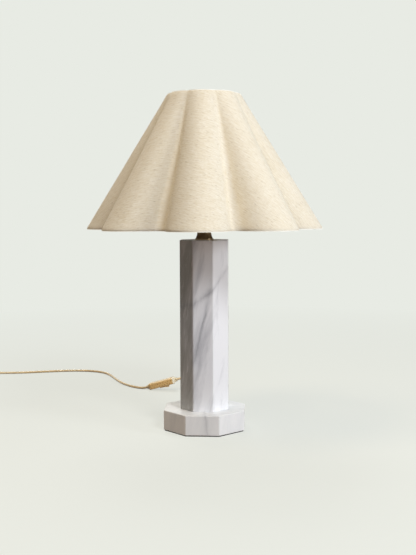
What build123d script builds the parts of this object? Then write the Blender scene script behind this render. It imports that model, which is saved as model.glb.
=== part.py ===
"""Column table lamp: an eight-sided marble column on a marble plinth, with a petal-shaped linen shade.

Millimetres, +Z up. The origin is on the floor, on the axis of the column. The front of the lamp
faces -Y and the cord leaves at the back, +Y.
"""
from build123d import *
import math
import os

# ---------------------------------------------------------------- marble, rod and pad
SIDES = 8                      # sides of the column and of the plinth
PLINTH_FLATS = 134.0           # plinth, across flats
PLINTH_THICKNESS = 33.0
PLINTH_BEVEL = 0.9
COLUMN_FLATS = 79.7            # column, across flats
COLUMN_LENGTH = 283.0
COLUMN_BEVEL = 0.7
PAD_THICKNESS = 1.5            # felt under the plinth
PAD_INSET = 1.5                # felt stops this far inside the plinth's faces
ROD_DIAMETER = 10.0            # hollow threaded rod that ties the lamp together
ROD_BORE = 7.6
ROD_HOLE_PLAY = 2.0            # drilled hole in the marble over the rod
ROD_TAIL = 2.0                 # rod standing out of the lower nut
POCKET_DIAMETER = 46.0         # recess under the plinth for nut and cord
POCKET_DEPTH = 22.0
WASHER_DIAMETER = 36.0
WASHER_THICKNESS = 2.0
LOCK_WASHER_DIAMETER = 17.0
LOCK_WASHER_THICKNESS = 1.2
NUT_FLATS = 17.0
NUT_THICKNESS = 4.0
TOP_WASHER_DIAMETER = 24.0
TOP_WASHER_THICKNESS = 1.5
TOP_NUT_FLATS = 14.0
TOP_NUT_THICKNESS = 3.0
SLIP = 0.2                     # clearance of a hole over the round thing in it
NUT_CROWN = 0.9                # how far the turned crown of a nut stands outside its flats
NUT_CHAMFER = 0.8
LOCK_WASHER_GAP = 0.8
LOCK_WASHER_SLANT = 20         # degrees
SLOT_WIDTH = 0.8               # screwdriver slots

# ---------------------------------------------------------------- cap and lampholder
CAP_DIAMETER = 31.0            # dark bell between column and lampholder
CAP_TOP_DIAMETER = 23.5
CAP_HEIGHT = 14.0
CAP_LIP = 2.0
CAP_WALL = 1.5
CAP_STEP = 0.8                 # bell stands back from its lip
CAP_HOLLOW_IN = 0.7            # its flare lies this far inside the straight line
CAP_HOLLOW_DOWN = 0.6
HOLDER_DIAMETER = 39.0
HOLDER_COLLAR_DIAMETER = 21.0
HOLDER_COLLAR_HEIGHT = 6.0
HOLDER_DOME_HEIGHT = 22.0
HOLDER_FLOOR = 7.0             # solid bottom of the dome, round the rod
HOLDER_WALL = 2.3
HOLDER_THROAT = 1.2            # extra wall where the dome narrows
HOLDER_FLARE_OUT = 0.72        # middle of the flare, as a share of it
HOLDER_FLARE_UP = 0.30
HOLDER_EDGE = 1.0
HOLDER_HEIGHT = 58.0
HOLDER_MOUTH = 32.0            # opening for the bulb's neck
ROD_IN_HOLDER = 9.5
INSERT_BASE = 8.0              # ceramic insert: floor, then a cup round the screw shell
INSERT_DEPTH = 26.0
INSERT_SUNK = 3.0              # insert sits this deep in the dome
SHELL_BORE = 27.2              # brass screw shell of the bulb socket
SHELL_WALL = 0.6
SHELL_LENGTH = 16.0
SHADE_RING_DIAMETER = 58.0
SHADE_RING_THICKNESS = 7.5
SHADE_RING_FLUTES = 20
SHADE_RING_EDGE = 0.8
FLUTE_RADIUS = 2.0
FLUTE_OFFSET = 0.9             # centre of a flute outside the ring's edge
SHADE_RING_HEIGHT = 27.5       # underside of the lower ring above the holder's foot
THREAD_PLAY = 0.15
TERMINAL_RADIUS = 10.0         # clamp screws under the insert, from the axis
TERMINAL_DIAMETER = 4.2
TERMINAL_LENGTH = 3.0
TERMINAL_SLOT_DEPTH = 0.6
CONTACT_THICKNESS = 0.8        # brass tongue under the bulb
CONTACT_RISE = 2.0             # its height above the insert's floor
CONTACT_WIDTH = 5.0
CONTACT_LENGTH = 13.0

# ---------------------------------------------------------------- bulb
BULB_CAP_DIAMETER = 26.2
BULB_CAP_LENGTH = 24.0
BULB_LENGTH = 104.0
BULB_DIAMETER = 60.0
BULB_NECK_DIAMETER = 29.0
BULB_GLASS = 0.8
BULB_TIP_DIAMETER = 9.0
BULB_TIP_HEIGHT = 3.0
BULB_TIP_EDGE = 0.8
BULB_TIP_STEP = 1.0
BULB_FOOT_MARGIN = 1.0         # insulator stays this far inside the cap's foot
BULB_ROOT = 6.0                # glass ends this far above the cap's foot
BULB_THROAT_GAP = 0.8          # between the glass and the cap
BULB_NECK_RISE = 3.0           # neck reaches its width this far above the cap
BULB_SWELL_RISE = 17.0         # where the neck turns outwards, and how far it has grown there
BULB_SWELL = 4.6
BULB_SWELL_SLOPE = (0.58, 0.81)
BULB_CAP_TAPER = 4.2
BULB_CAP_TAPER_HEIGHT = 3.4
BULB_CAP_WALL = 0.6
CONTACT_GAP = 0.3              # bulb's tip above the centre contact

# ---------------------------------------------------------------- shade
PETALS = 8
SHADE_GAP = 18.0               # underside of the shade above the column
SHADE_HEIGHT = 222.5
SHADE_RADIUS = 197.5           # to the tip of a petal, at the bottom
VALLEY_RADIUS = 149.5          # to the fold between petals, at the bottom
VALLEY_ARC = 12.0              # rounding of that fold
TOP_RADIUS = 60.0
TOP_VALLEY_RADIUS = 56.5
TOP_VALLEY_ARC = 8.0
LINEN_THICKNESS = 0.7
LINING_THICKNESS = 0.6
WIRE_DIAMETER = 3.0            # rings in the two rims
WIRE_PLAY = 0.3
ARM_DIAMETER = 3.4
ARMS = 4
FITTER_DIAMETER = 64.0         # sheet ring that sits between the shade rings
FITTER_BORE = 41.5
FITTER_THICKNESS = 1.5
ARM_LEVEL = 6.0                # straight start of an arm, before it slopes down
ARM_BEND = 12.0
ARM_LAP = 1.0                  # arm is welded this far inside the fitter ring's edge

# ---------------------------------------------------------------- cord and switch
CORD_DIAMETER = 4.8
CORD_HOLE_HEIGHT = 10.0        # centre of the hole at the back, above the floor
CORD_HOLE_DIAMETER = 9.0
BUSH_FLANGE_DIAMETER = 13.0
BUSH_FLANGE_THICKNESS = 1.8
BUSH_TAIL = 22.0               # tapered strain relief outside the plinth
BUSH_TIP_DIAMETER = 6.4
INNER_BEND = 7.0               # cord's turn up into the rod
INNER_SAG = 20.0               # its slight bend down, inside the pocket
INNER_LOW = 5.4                # corner of that turn above the floor
INNER_START = 3.0              # it starts to bend this far inside the pocket
SHEATH_END = 3.0               # cord's sheath stops this far below the rod's top
WIRE_CORE_DIAMETER = 2.0
CORE_SPACING = 2.4             # between the two wires in the rod
CORE_RISE = 1.5                # they part this far above the rod
CORE_TURN = 4.5                # and turn up this far below the terminals
CORE_BEND = 2.2
SWITCH_LENGTH = 56.0
SWITCH_WIDTH = 22.0
SWITCH_THICKNESS = 12.0
SWITCH_CORNER = 6.0
SWITCH_EDGE = 2.0
SWITCH_WALL = 1.7
SWITCH_TILT = 16.0             # leans on its lower end, held up by the cord
SWITCH_HEADING = -3.6          # direction of its length from +X
SWITCH_LOW_END = Vector(-133.3, 308.0, 5.5)
SWITCH_SLEEVE_DIAMETER = 8.0
SWITCH_SLEEVE_LENGTH = 8.0
SWITCH_SLEEVE_INSIDE = 4.0
LEAD_LENGTH = 8.0              # cord inside the switch, past the sleeve
ROCKER_OFFSET = 4.0            # towards the raised end
ROCKER_LENGTH = 19.0
ROCKER_WIDTH = 9.0
ROCKER_PLAY = 0.5
ROCKER_HEIGHT = 2.6            # above the front shell, at its middle
ROCKER_TILT = 7.0              # each way from level
ROCKER_PIN_DIAMETER = 2.0
ROCKER_PIN_LENGTH = 14.0
ROCKER_PIN_DEPTH = 2.6         # below the front face
ROCKER_PIN_PLAY = 0.05
ROCKER_CROWN = 0.5             # pads rise this much from middle to end
ROCKER_KEEL = 2.2              # under the pin
ROCKER_KEEL_END = 1.2
ROCKER_KEEL_SLANT = 1.5
ROCKER_EDGE = 0.6
CHEEK_LENGTH = 7.0             # cheeks that carry the pin
CHEEK_LIFT = 0.6
CHEEK_SHORTER = 1.0
STRIP_LENGTH = 8.0             # brass strip under each end of the rocker
STRIP_WIDTH = 4.0
STRIP_THICKNESS = 0.6
STRIP_INSET = 4.0
STUD_DIAMETER = 2.4
STUD_HEIGHT = 0.8
STUD_OFFSET = 2.5
SCREW_DIAMETER = 2.5
SCREW_HEAD_DIAMETER = 4.6
SCREW_HEAD_THICKNESS = 1.6
SCREW_SPACING = 40.0
SCREW_SIDE = 6.0
SCREW_SUNK = 0.6               # head lies this far below the face
SCREW_SLOT_DEPTH = 0.7
BOSS_WALL = 1.0
BOSS_START = 0.8

COIL_MIDDLE = Vector(-540.0, 420.0)
COIL_INNER_RADIUS = 20.5
COIL_PITCH = 6.3               # from turn to turn on one layer
COIL_LAYER = 5.6               # from layer to layer
COIL_HALF_TURNS_IN = 5
COIL_HALF_TURNS_OUT = 4
COIL_LIFT = 0.8                # room under the coil for the tie
TIE_THICKNESS = 0.6
TIE_WIDTH = 8.0
TIE_PLAY = 0.3
PLUG_WIDTH = 35.0
PLUG_WAIST = 20.0
PLUG_THICKNESS = 13.7
PLUG_LENGTH = 33.0
PLUG_TAIL = 20.0
PLUG_TAIL_TIP = 6.6
PLUG_TAIL_ROOT = 10.0
PIN_DIAMETER = 4.0
PIN_LENGTH = 19.0
PIN_SPACING = 19.0
PIN_SLEEVE = 10.0              # insulated part of a pin
PIN_SLEEVE_WALL = 0.5
PIN_TIP = 1.4                  # rounding of a pin's end
PLUG_SHOULDER = 15.0           # from the waist to the full width
PLUG_CORNER = 3.0
PLUG_EDGE = 2.0
TAIL_LAP = 1.0                 # strain relief runs this far into the plug

# ---------------------------------------------------------------- heights worked out from these
PLINTH_BOTTOM = PAD_THICKNESS
PLINTH_TOP = PLINTH_BOTTOM + PLINTH_THICKNESS
COLUMN_TOP = PLINTH_TOP + COLUMN_LENGTH
POCKET_TOP = PLINTH_BOTTOM + POCKET_DEPTH
LOCK_WASHER_TOP = POCKET_TOP - WASHER_THICKNESS
NUT_TOP = LOCK_WASHER_TOP - LOCK_WASHER_THICKNESS
ROD_BOTTOM = NUT_TOP - NUT_THICKNESS - ROD_TAIL
HOLDER_FOOT = COLUMN_TOP + CAP_HEIGHT
ROD_TOP = HOLDER_FOOT + ROD_IN_HOLDER
SHEATH_TOP = ROD_TOP - SHEATH_END
DOME_TOP = HOLDER_FOOT + HOLDER_DOME_HEIGHT
HOLDER_TOP = HOLDER_FOOT + HOLDER_HEIGHT
INSERT_BOTTOM = DOME_TOP - INSERT_SUNK
SHELL_BOTTOM = INSERT_BOTTOM + INSERT_BASE
LOWER_RING_BOTTOM = HOLDER_FOOT + SHADE_RING_HEIGHT
FITTER_BOTTOM = LOWER_RING_BOTTOM + SHADE_RING_THICKNESS
UPPER_RING_BOTTOM = FITTER_BOTTOM + FITTER_THICKNESS
BULB_BOTTOM = SHELL_BOTTOM + CONTACT_RISE + CONTACT_THICKNESS + CONTACT_GAP
BULB_CAP_BOTTOM = BULB_BOTTOM + BULB_TIP_HEIGHT
BULB_CAP_TOP = BULB_CAP_BOTTOM + BULB_CAP_LENGTH
SHADE_BOTTOM = COLUMN_TOP + SHADE_GAP
SHADE_TOP = SHADE_BOTTOM + SHADE_HEIGHT
INSERT_DIAMETER = HOLDER_DIAMETER - 2 * HOLDER_WALL - SLIP
ROD_HOLE = ROD_DIAMETER + ROD_HOLE_PLAY
BUSH_OUTER_FACE = PLINTH_FLATS / 2 + BUSH_FLANGE_THICKNESS + BUSH_TAIL
CORD_FLOOR = CORD_DIAMETER / 2

# ---------------------------------------------------------------- cord routes, chosen by hand
# From the strain relief at the back of the plinth, over the floor, up into the raised end of the switch.
ROUTE_TO_SWITCH = [
    (0.0, BUSH_OUTER_FACE, CORD_HOLE_HEIGHT),
    (0.0, 106.0, CORD_HOLE_HEIGHT),
    (0.8, 127.0, 5.6),
    (3.0, 151.0, 2.4),
    (7.0, 181.0, 2.4),
    (11.5, 213.0, 3.0),
    (12.5, 244.0, 6.0),
    (6.0, 273.0, 14.5),
    (-11.0, 295.0, 25.0),
    (-34.0, 304.0, 31.5),
]
# From the lowered end of the switch along the floor to the coil.
ROUTE_TO_COIL = [
    (-156.0, 312.5, 2.4),
    (-170.0, 323.0, 2.4),
    (-187.0, 343.0, 2.4),
    (-205.0, 373.0, 2.4),
    (-222.0, 412.0, 2.4),
    (-238.0, 450.0, 2.4),
    (-259.0, 480.0, 2.4),
    (-292.0, 496.0, 2.4),
    (-338.0, 496.0, 2.4),
    (-390.0, 482.0, 2.4),
    (-442.0, 465.0, 2.5),
]
RUN_INTO_SWITCH = 16.0         # on the switch's own axis
RUN_OUT_OF_SWITCH = 7.5
RUN_INTO_COIL = 36.0
# Offsets from the end of the coil to the plug; its last points lie at the plug's own height.
ROUTE_FROM_COIL = [(-16.0, 0.0), (-34.0, -8.0), (-47.0, -24.0), (-50.0, -42.0), (-50.0, -56.0)]
TAIL_DROP = 0.5                # below the coil's top layer at the second of them
TAIL_EASE = 0.4                # above the plug's height at the third


ON_FLOOR = (Align.CENTER, Align.CENTER, Align.MIN)


# ---------------------------------------------------------------- helpers
def disc(diameter, thickness, bottom):
    """A round plate lying level."""
    return Pos(0, 0, bottom) * extrude(Circle(diameter / 2), thickness)


def ring(outer, inner, thickness, bottom):
    """A round plate with a hole."""
    return Pos(0, 0, bottom) * extrude(Circle(outer / 2) - Circle(inner / 2), thickness)


def octagon(flats):
    """The lamp's eight-sided outline, with flats facing the four ways."""
    return RegularPolygon(flats / 2, SIDES, major_radius=False, rotation=180 / SIDES)


def turned(points):
    """A solid turned about the lamp's axis from the radius and height of each point."""
    return revolve(make_face(Polyline(*[(r, 0, z) for r, z in points], close=True)), Axis.Z)


def tube_along(path, diameter):
    """A round solid that follows a path."""
    start = Plane(origin=path @ 0, z_dir=path % 0)
    return sweep(start * Circle(diameter / 2), path=path)


def cord_radii(points):
    """The arc at each corner of a route: as large as its two runs allow."""
    radii = []
    for before, here, after in zip(points, points[1:], points[2:]):
        run_in = Vector(here) - Vector(before)
        run_out = Vector(after) - Vector(here)
        turn = math.radians(run_in.get_angle(run_out))
        radii.append(0.45 * min(run_in.length, run_out.length) / math.tan(turn / 2))
    return radii


def cord_path(points):
    return FilletPolyline(*points, radius=cord_radii(points))


def report_cord(name, path, solid):
    """Prints what a bent cord measures."""
    expected = path.length * math.pi * CORD_DIAMETER ** 2 / 4
    print(f"{name}: length {path.length:.1f} mm, volume {solid.volume:.0f} of {expected:.0f} mm3")


# ---------------------------------------------------------------- plinth, column and rod
def felt_pad():
    return extrude(octagon(PLINTH_FLATS - 2 * PAD_INSET), PAD_THICKNESS)


def plinth():
    block = Pos(0, 0, PLINTH_BOTTOM) * extrude(octagon(PLINTH_FLATS), PLINTH_THICKNESS)
    block = chamfer(block.edges(), PLINTH_BEVEL)
    block -= disc(POCKET_DIAMETER, POCKET_DEPTH, PLINTH_BOTTOM)
    block -= disc(ROD_HOLE, PLINTH_THICKNESS, PLINTH_BOTTOM)
    drill = Plane(origin=(0, PLINTH_FLATS / 2, CORD_HOLE_HEIGHT), z_dir=(0, -1, 0))
    block -= drill * extrude(Circle(CORD_HOLE_DIAMETER / 2), PLINTH_FLATS / 2)
    return block


def column():
    block = Pos(0, 0, PLINTH_TOP) * extrude(octagon(COLUMN_FLATS), COLUMN_LENGTH)
    block = chamfer(block.edges(), COLUMN_BEVEL)
    return block - disc(ROD_HOLE, COLUMN_LENGTH, PLINTH_TOP)


def threaded_rod():
    return ring(ROD_DIAMETER, ROD_BORE, ROD_TOP - ROD_BOTTOM, ROD_BOTTOM)


def hexagon_nut(flats, thickness, bottom):
    nut = extrude(RegularPolygon(flats / 2, 6, major_radius=False), thickness)
    crown = Pos(0, 0, thickness / 2) * Cylinder(flats / 2 + NUT_CROWN, thickness)
    nut &= chamfer(crown.edges(), NUT_CHAMFER)
    return Pos(0, 0, bottom) * (nut - Cylinder(ROD_DIAMETER / 2, 3 * thickness))


def lock_washer():
    """A split spring washer: a ring with a narrow slanting gap."""
    washer = ring(LOCK_WASHER_DIAMETER, ROD_DIAMETER + SLIP, LOCK_WASHER_THICKNESS, NUT_TOP)
    radius = LOCK_WASHER_DIAMETER / 2
    slot = Pos(radius, 0, NUT_TOP) * Rot(LOCK_WASHER_SLANT, 0, 0) * Box(radius, LOCK_WASHER_GAP, radius)
    return washer - slot


# ---------------------------------------------------------------- cap and lampholder
def column_cap():
    """A bell turned from bronze: a plain lip, then a hollow flare up to a flat top."""
    foot = CAP_DIAMETER / 2
    neck = CAP_TOP_DIAMETER / 2
    shoulder = foot - CAP_STEP
    outline = [
        Line((0, 0), (foot, 0)),
        Line((foot, 0), (foot, CAP_LIP)),
        Line((foot, CAP_LIP), (shoulder, CAP_LIP)),
        ThreePointArc(
            (shoulder, CAP_LIP),
            ((shoulder + neck) / 2 - CAP_HOLLOW_IN, (CAP_LIP + CAP_HEIGHT) / 2 - CAP_HOLLOW_DOWN),
            (neck, CAP_HEIGHT),
        ),
        Line((neck, CAP_HEIGHT), (0, CAP_HEIGHT)),
        Line((0, CAP_HEIGHT), (0, 0)),
    ]
    outside = revolve(Plane.XZ * make_face(outline), Axis.Z)
    hollow = Cone(
        shoulder - CAP_WALL,
        neck - CAP_WALL,
        CAP_HEIGHT - CAP_WALL,
        align=ON_FLOOR,
    )
    bell = outside - hollow
    bell -= Cylinder((ROD_DIAMETER + SLIP) / 2, 3 * CAP_HEIGHT)
    return Pos(0, 0, COLUMN_TOP) * bell


def holder_dome():
    """The lower half of the lampholder: a collar that flares into a round body."""
    collar = HOLDER_COLLAR_DIAMETER / 2
    body = HOLDER_DIAMETER / 2
    flare = body - collar
    outline = [
        Line((0, 0), (collar, 0)),
        Line((collar, 0), (collar, HOLDER_COLLAR_HEIGHT)),
        ThreePointArc(
            (collar, HOLDER_COLLAR_HEIGHT),
            (collar + HOLDER_FLARE_OUT * flare, HOLDER_COLLAR_HEIGHT + HOLDER_FLARE_UP * flare),
            (body, HOLDER_COLLAR_HEIGHT + flare),
        ),
        Line((body, HOLDER_COLLAR_HEIGHT + flare), (body, HOLDER_DOME_HEIGHT)),
        Line((body, HOLDER_DOME_HEIGHT), (0, HOLDER_DOME_HEIGHT)),
        Line((0, HOLDER_DOME_HEIGHT), (0, 0)),
    ]
    outside = revolve(Plane.XZ * make_face(outline), Axis.Z)
    low = collar - HOLDER_WALL - HOLDER_THROAT
    wide = body - HOLDER_WALL
    cavity = [
        (0, HOLDER_FLOOR),
        (low, HOLDER_FLOOR),
        (wide, HOLDER_COLLAR_HEIGHT + flare),
        (wide, HOLDER_DOME_HEIGHT),
        (0, HOLDER_DOME_HEIGHT),
    ]
    dome = outside - turned(cavity)
    dome -= Cylinder(ROD_DIAMETER / 2, 2 * HOLDER_DOME_HEIGHT)
    return Pos(0, 0, HOLDER_FOOT) * dome


def holder_insert():
    """The ceramic cup that carries the contacts."""
    cup_top = INSERT_BOTTOM + INSERT_DEPTH
    cup = disc(INSERT_DIAMETER, INSERT_DEPTH, INSERT_BOTTOM)
    cup -= disc(SHELL_BORE + 2 * SHELL_WALL, cup_top - SHELL_BOTTOM, SHELL_BOTTOM)
    for side in (-1, 1):
        well = Cylinder(TERMINAL_DIAMETER / 2, 2 * TERMINAL_LENGTH)
        cup -= Pos(side * TERMINAL_RADIUS, 0, INSERT_BOTTOM) * well
    return cup


def terminals():
    """Two brass clamp screws in the underside of the insert."""
    pair = []
    for side in (-1, 1):
        post = Cylinder(TERMINAL_DIAMETER / 2, TERMINAL_LENGTH)
        cutter = Box(2 * TERMINAL_DIAMETER, SLOT_WIDTH, 2 * TERMINAL_SLOT_DEPTH)
        slot = Pos(0, 0, -TERMINAL_LENGTH / 2) * cutter
        seat = Pos(side * TERMINAL_RADIUS, 0, INSERT_BOTTOM + TERMINAL_LENGTH / 2)
        pair.append(seat * (post - slot))
    return pair


def screw_shell():
    return ring(SHELL_BORE + 2 * SHELL_WALL, SHELL_BORE, SHELL_LENGTH, SHELL_BOTTOM)


def centre_contact():
    """A bent brass tongue under the bulb's tip."""
    corner = (Align.MIN, Align.CENTER, Align.MIN)
    foot = Box(CONTACT_LENGTH, CONTACT_WIDTH, CONTACT_THICKNESS, align=corner)
    riser = Box(CONTACT_THICKNESS, CONTACT_WIDTH, CONTACT_RISE, align=corner)
    tongue = Pos(0, 0, CONTACT_RISE) * foot
    return Pos(-CONTACT_LENGTH / 2, 0, SHELL_BOTTOM) * (foot + riser + tongue)


def holder_sleeve():
    """The threaded upper half of the lampholder, with a lip that holds the insert down."""
    inner = HOLDER_DIAMETER - 2 * HOLDER_WALL
    insert_top = INSERT_BOTTOM + INSERT_DEPTH
    sleeve = disc(HOLDER_DIAMETER, HOLDER_TOP - DOME_TOP, DOME_TOP)
    sleeve = chamfer(sleeve.edges().group_by(Axis.Z)[-1], HOLDER_EDGE)
    sleeve -= disc(inner, insert_top - DOME_TOP, DOME_TOP)
    return sleeve - disc(HOLDER_MOUTH, HOLDER_TOP - insert_top, insert_top)


def shade_ring(bottom):
    """A bakelite ring with finger flutes round its edge."""
    bore = HOLDER_DIAMETER + 2 * THREAD_PLAY
    blank = disc(SHADE_RING_DIAMETER, SHADE_RING_THICKNESS, bottom)
    blank = chamfer(blank.edges(), SHADE_RING_EDGE)
    flute = Pos(0, 0, bottom) * Cylinder(FLUTE_RADIUS, 4 * SHADE_RING_THICKNESS)
    for place in PolarLocations(SHADE_RING_DIAMETER / 2 + FLUTE_OFFSET, SHADE_RING_FLUTES):
        blank -= place * flute
    return blank - disc(bore, SHADE_RING_THICKNESS, bottom)


# ---------------------------------------------------------------- bulb
def bulb_glass():
    """A pear-shaped glass, open at the neck where it is cemented into its cap."""
    ball = BULB_DIAMETER / 2
    neck = BULB_NECK_DIAMETER / 2
    top = BULB_BOTTOM + BULB_LENGTH
    root = BULB_CAP_BOTTOM + BULB_ROOT
    throat = BULB_CAP_DIAMETER / 2 - BULB_THROAT_GAP

    def half(shrink):
        equator = top - ball
        start = (neck - shrink, BULB_CAP_TOP + BULB_NECK_RISE)
        swell = (neck - shrink + BULB_SWELL, BULB_CAP_TOP + BULB_SWELL_RISE)
        return [
            Line((0, root), (throat - shrink, root)),
            Line((throat - shrink, root), (throat - shrink, BULB_CAP_TOP)),
            Line((throat - shrink, BULB_CAP_TOP), start),
            TangentArc(start, swell, tangent=(0, 1)),
            Spline(swell, (ball - shrink, equator), tangents=[BULB_SWELL_SLOPE, (0, 1)]),
            ThreePointArc(
                (ball - shrink, equator),
                ((ball - shrink) * math.sqrt(0.5), equator + (ball - shrink) * math.sqrt(0.5)),
                (0, equator + ball - shrink),
            ),
            Line((0, equator + ball - shrink), (0, root)),
        ]

    outside = revolve(Plane.XZ * make_face(half(0)), Axis.Z)
    inside = revolve(Plane.XZ * make_face(half(BULB_GLASS)), Axis.Z)
    return outside - inside


def bulb_cap():
    """The metal screw cap: a thin cup, stepped in at its foot."""
    radius = BULB_CAP_DIAMETER / 2
    foot = radius - BULB_CAP_TAPER
    wall = BULB_CAP_WALL
    outside = [
        (0, BULB_CAP_BOTTOM),
        (foot, BULB_CAP_BOTTOM),
        (radius, BULB_CAP_BOTTOM + BULB_CAP_TAPER_HEIGHT),
        (radius, BULB_CAP_TOP),
        (0, BULB_CAP_TOP),
    ]
    inside = [
        (0, BULB_CAP_BOTTOM + wall),
        (foot - wall, BULB_CAP_BOTTOM + wall),
        (radius - wall, BULB_CAP_BOTTOM + BULB_CAP_TAPER_HEIGHT + wall),
        (radius - wall, BULB_CAP_TOP),
        (0, BULB_CAP_TOP),
    ]
    return turned(outside) - turned(inside)


def bulb_tip():
    """The insulated foot with the bulb's centre contact."""
    tip = BULB_TIP_DIAMETER / 2
    wide = BULB_CAP_DIAMETER / 2 - BULB_CAP_TAPER - BULB_FOOT_MARGIN
    return turned([
        (0, BULB_BOTTOM),
        (tip - BULB_TIP_EDGE, BULB_BOTTOM),
        (tip, BULB_BOTTOM + BULB_TIP_STEP),
        (wide, BULB_CAP_BOTTOM),
        (0, BULB_CAP_BOTTOM),
    ])


# ---------------------------------------------------------------- shade
def at_height(bottom_value, top_value, height):
    """A size of the shade that changes evenly from its bottom rim to its top rim."""
    share = (height - SHADE_BOTTOM) / SHADE_HEIGHT
    return bottom_value + (top_value - bottom_value) * share


def petal_outline(height, inset):
    """The closed petal outline at a height: round lobes joined by small arcs that bend the other way."""
    tip = at_height(SHADE_RADIUS, TOP_RADIUS, height)
    valley = at_height(VALLEY_RADIUS, TOP_VALLEY_RADIUS, height)
    fold = at_height(VALLEY_ARC, TOP_VALLEY_ARC, height)
    half = math.pi / PETALS
    reach = valley + fold
    lobe = (tip ** 2 + reach ** 2 - 2 * tip * reach * math.cos(half) - fold ** 2) / (
        2 * (fold + tip - reach * math.cos(half))
    )
    middle = tip - lobe
    joint = math.atan2(reach * math.sin(half), reach * math.cos(half) - middle)
    lobe -= inset
    fold += inset
    edges = []
    for petal in range(PETALS):
        place = Pos(0, 0, height) * Rot(0, 0, petal * 360 / PETALS - 90)
        start = (middle + lobe * math.cos(joint), -lobe * math.sin(joint))
        end = (middle + lobe * math.cos(joint), lobe * math.sin(joint))
        bottom_of_fold = ((reach - fold) * math.cos(half), (reach - fold) * math.sin(half))
        turn = 2 * half
        following = (
            start[0] * math.cos(turn) - start[1] * math.sin(turn),
            start[0] * math.sin(turn) + start[1] * math.cos(turn),
        )
        edges.append(place * ThreePointArc(start, (middle + lobe, 0), end))
        edges.append(place * ThreePointArc(end, bottom_of_fold, following))
    return Wire(edges)


def petal_core(inset):
    """The solid bounded by the shade's surface, that far inside the linen."""
    rims = [Face(petal_outline(height, inset)) for height in (SHADE_BOTTOM, SHADE_TOP)]
    return loft(rims, ruled=True)


def rim_wire(height):
    """A wire ring inside a rim, following its petals."""
    slope = (SHADE_RADIUS - TOP_RADIUS) / SHADE_HEIGHT
    lean = math.hypot(1, slope)
    inset = LINEN_THICKNESS + LINING_THICKNESS + WIRE_PLAY + WIRE_DIAMETER / 2 * lean
    return tube_along(petal_outline(height, inset), WIRE_DIAMETER)


def fitter_ring():
    return ring(FITTER_DIAMETER, FITTER_BORE, FITTER_THICKNESS, FITTER_BOTTOM)


def spider_arms(wire, fitter):
    """Straight wires from the fitter ring down to the folds of the lower wire ring."""
    level = FITTER_BOTTOM + FITTER_THICKNESS / 2
    start = FITTER_DIAMETER / 2 - ARM_LAP
    low = SHADE_BOTTOM + WIRE_DIAMETER / 2
    inset = LINEN_THICKNESS + LINING_THICKNESS + WIRE_PLAY + WIRE_DIAMETER
    end = at_height(VALLEY_RADIUS, TOP_VALLEY_RADIUS, low) - inset
    path = FilletPolyline(
        (start, 0, level),
        (start + ARM_LEVEL, 0, level),
        (end, 0, low),
        radius=ARM_BEND,
    )
    arm = tube_along(path, ARM_DIAMETER)
    arms = []
    for number in range(ARMS):
        angle = number * 360 / ARMS - 90 + 180 / PETALS
        arms.append(Rot(0, 0, angle) * arm - wire - fitter)
    return arms


# ---------------------------------------------------------------- cord in the lamp
def cord_bush():
    """The strain relief at the back: a body in the drilled hole, a flange, and a tail that tapers."""
    hole = (CORD_HOLE_DIAMETER - SLIP) / 2
    inside = POCKET_DIAMETER / 2
    face = PLINTH_FLATS / 2
    bore = (CORD_DIAMETER + SLIP) / 2
    profile = [
        (bore, inside),
        (hole, inside),
        (hole, face),
        (BUSH_FLANGE_DIAMETER / 2, face),
        (BUSH_FLANGE_DIAMETER / 2, face + BUSH_FLANGE_THICKNESS),
        (hole, face + BUSH_FLANGE_THICKNESS),
        (BUSH_TIP_DIAMETER / 2, BUSH_OUTER_FACE),
        (bore, BUSH_OUTER_FACE),
    ]
    section = make_face(Polyline(*[(r, y, 0) for r, y in profile], close=True))
    return Pos(0, 0, CORD_HOLE_HEIGHT) * revolve(section, Axis.Y)


def inner_cord():
    """The cord from the strain relief through the pocket and up the rod."""
    path = FilletPolyline(
        (0, BUSH_OUTER_FACE, CORD_HOLE_HEIGHT),
        (0, POCKET_DIAMETER / 2 - INNER_START, CORD_HOLE_HEIGHT),
        (0, 0, INNER_LOW),
        (0, 0, SHEATH_TOP),
        radius=[INNER_SAG, INNER_BEND],
    )
    return tube_along(path, CORD_DIAMETER)


def core_wires():
    """The two insulated wires from the end of the cord's sheath to the terminals."""
    pair = []
    for side in (-1, 1):
        path = FilletPolyline(
            (side * CORE_SPACING / 2, 0, SHEATH_TOP),
            (side * CORE_SPACING / 2, 0, ROD_TOP + CORE_RISE),
            (side * TERMINAL_RADIUS, 0, INSERT_BOTTOM - CORE_TURN),
            (side * TERMINAL_RADIUS, 0, INSERT_BOTTOM),
            radius=[CORE_BEND, CORE_BEND],
        )
        pair.append(tube_along(path, WIRE_CORE_DIAMETER))
    return pair


# ---------------------------------------------------------------- switch
def switch_place():
    """The switch's own axes: +X towards its raised end, +Z out of its front, which faces down."""
    tilt = math.radians(SWITCH_TILT)
    heading = math.radians(SWITCH_HEADING)
    along = Vector(math.cos(tilt) * math.cos(heading), math.cos(tilt) * math.sin(heading), math.sin(tilt))
    down = Vector(math.sin(tilt) * math.cos(heading), math.sin(tilt) * math.sin(heading), -math.cos(tilt))
    return Plane(origin=SWITCH_LOW_END + along * (SWITCH_LENGTH / 2), x_dir=along, z_dir=down)


SWITCH = switch_place()
HALF_THICKNESS = SWITCH_THICKNESS / 2
ROCKER_PIN_HEIGHT = HALF_THICKNESS - ROCKER_PIN_DEPTH


def switch_blank():
    blank = extrude(RectangleRounded(SWITCH_LENGTH, SWITCH_WIDTH, SWITCH_CORNER), SWITCH_THICKNESS)
    blank = Pos(0, 0, -HALF_THICKNESS) * blank
    rims = blank.edges().group_by(Axis.Z)
    return fillet(rims[0] + rims[-1], SWITCH_EDGE)


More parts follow.
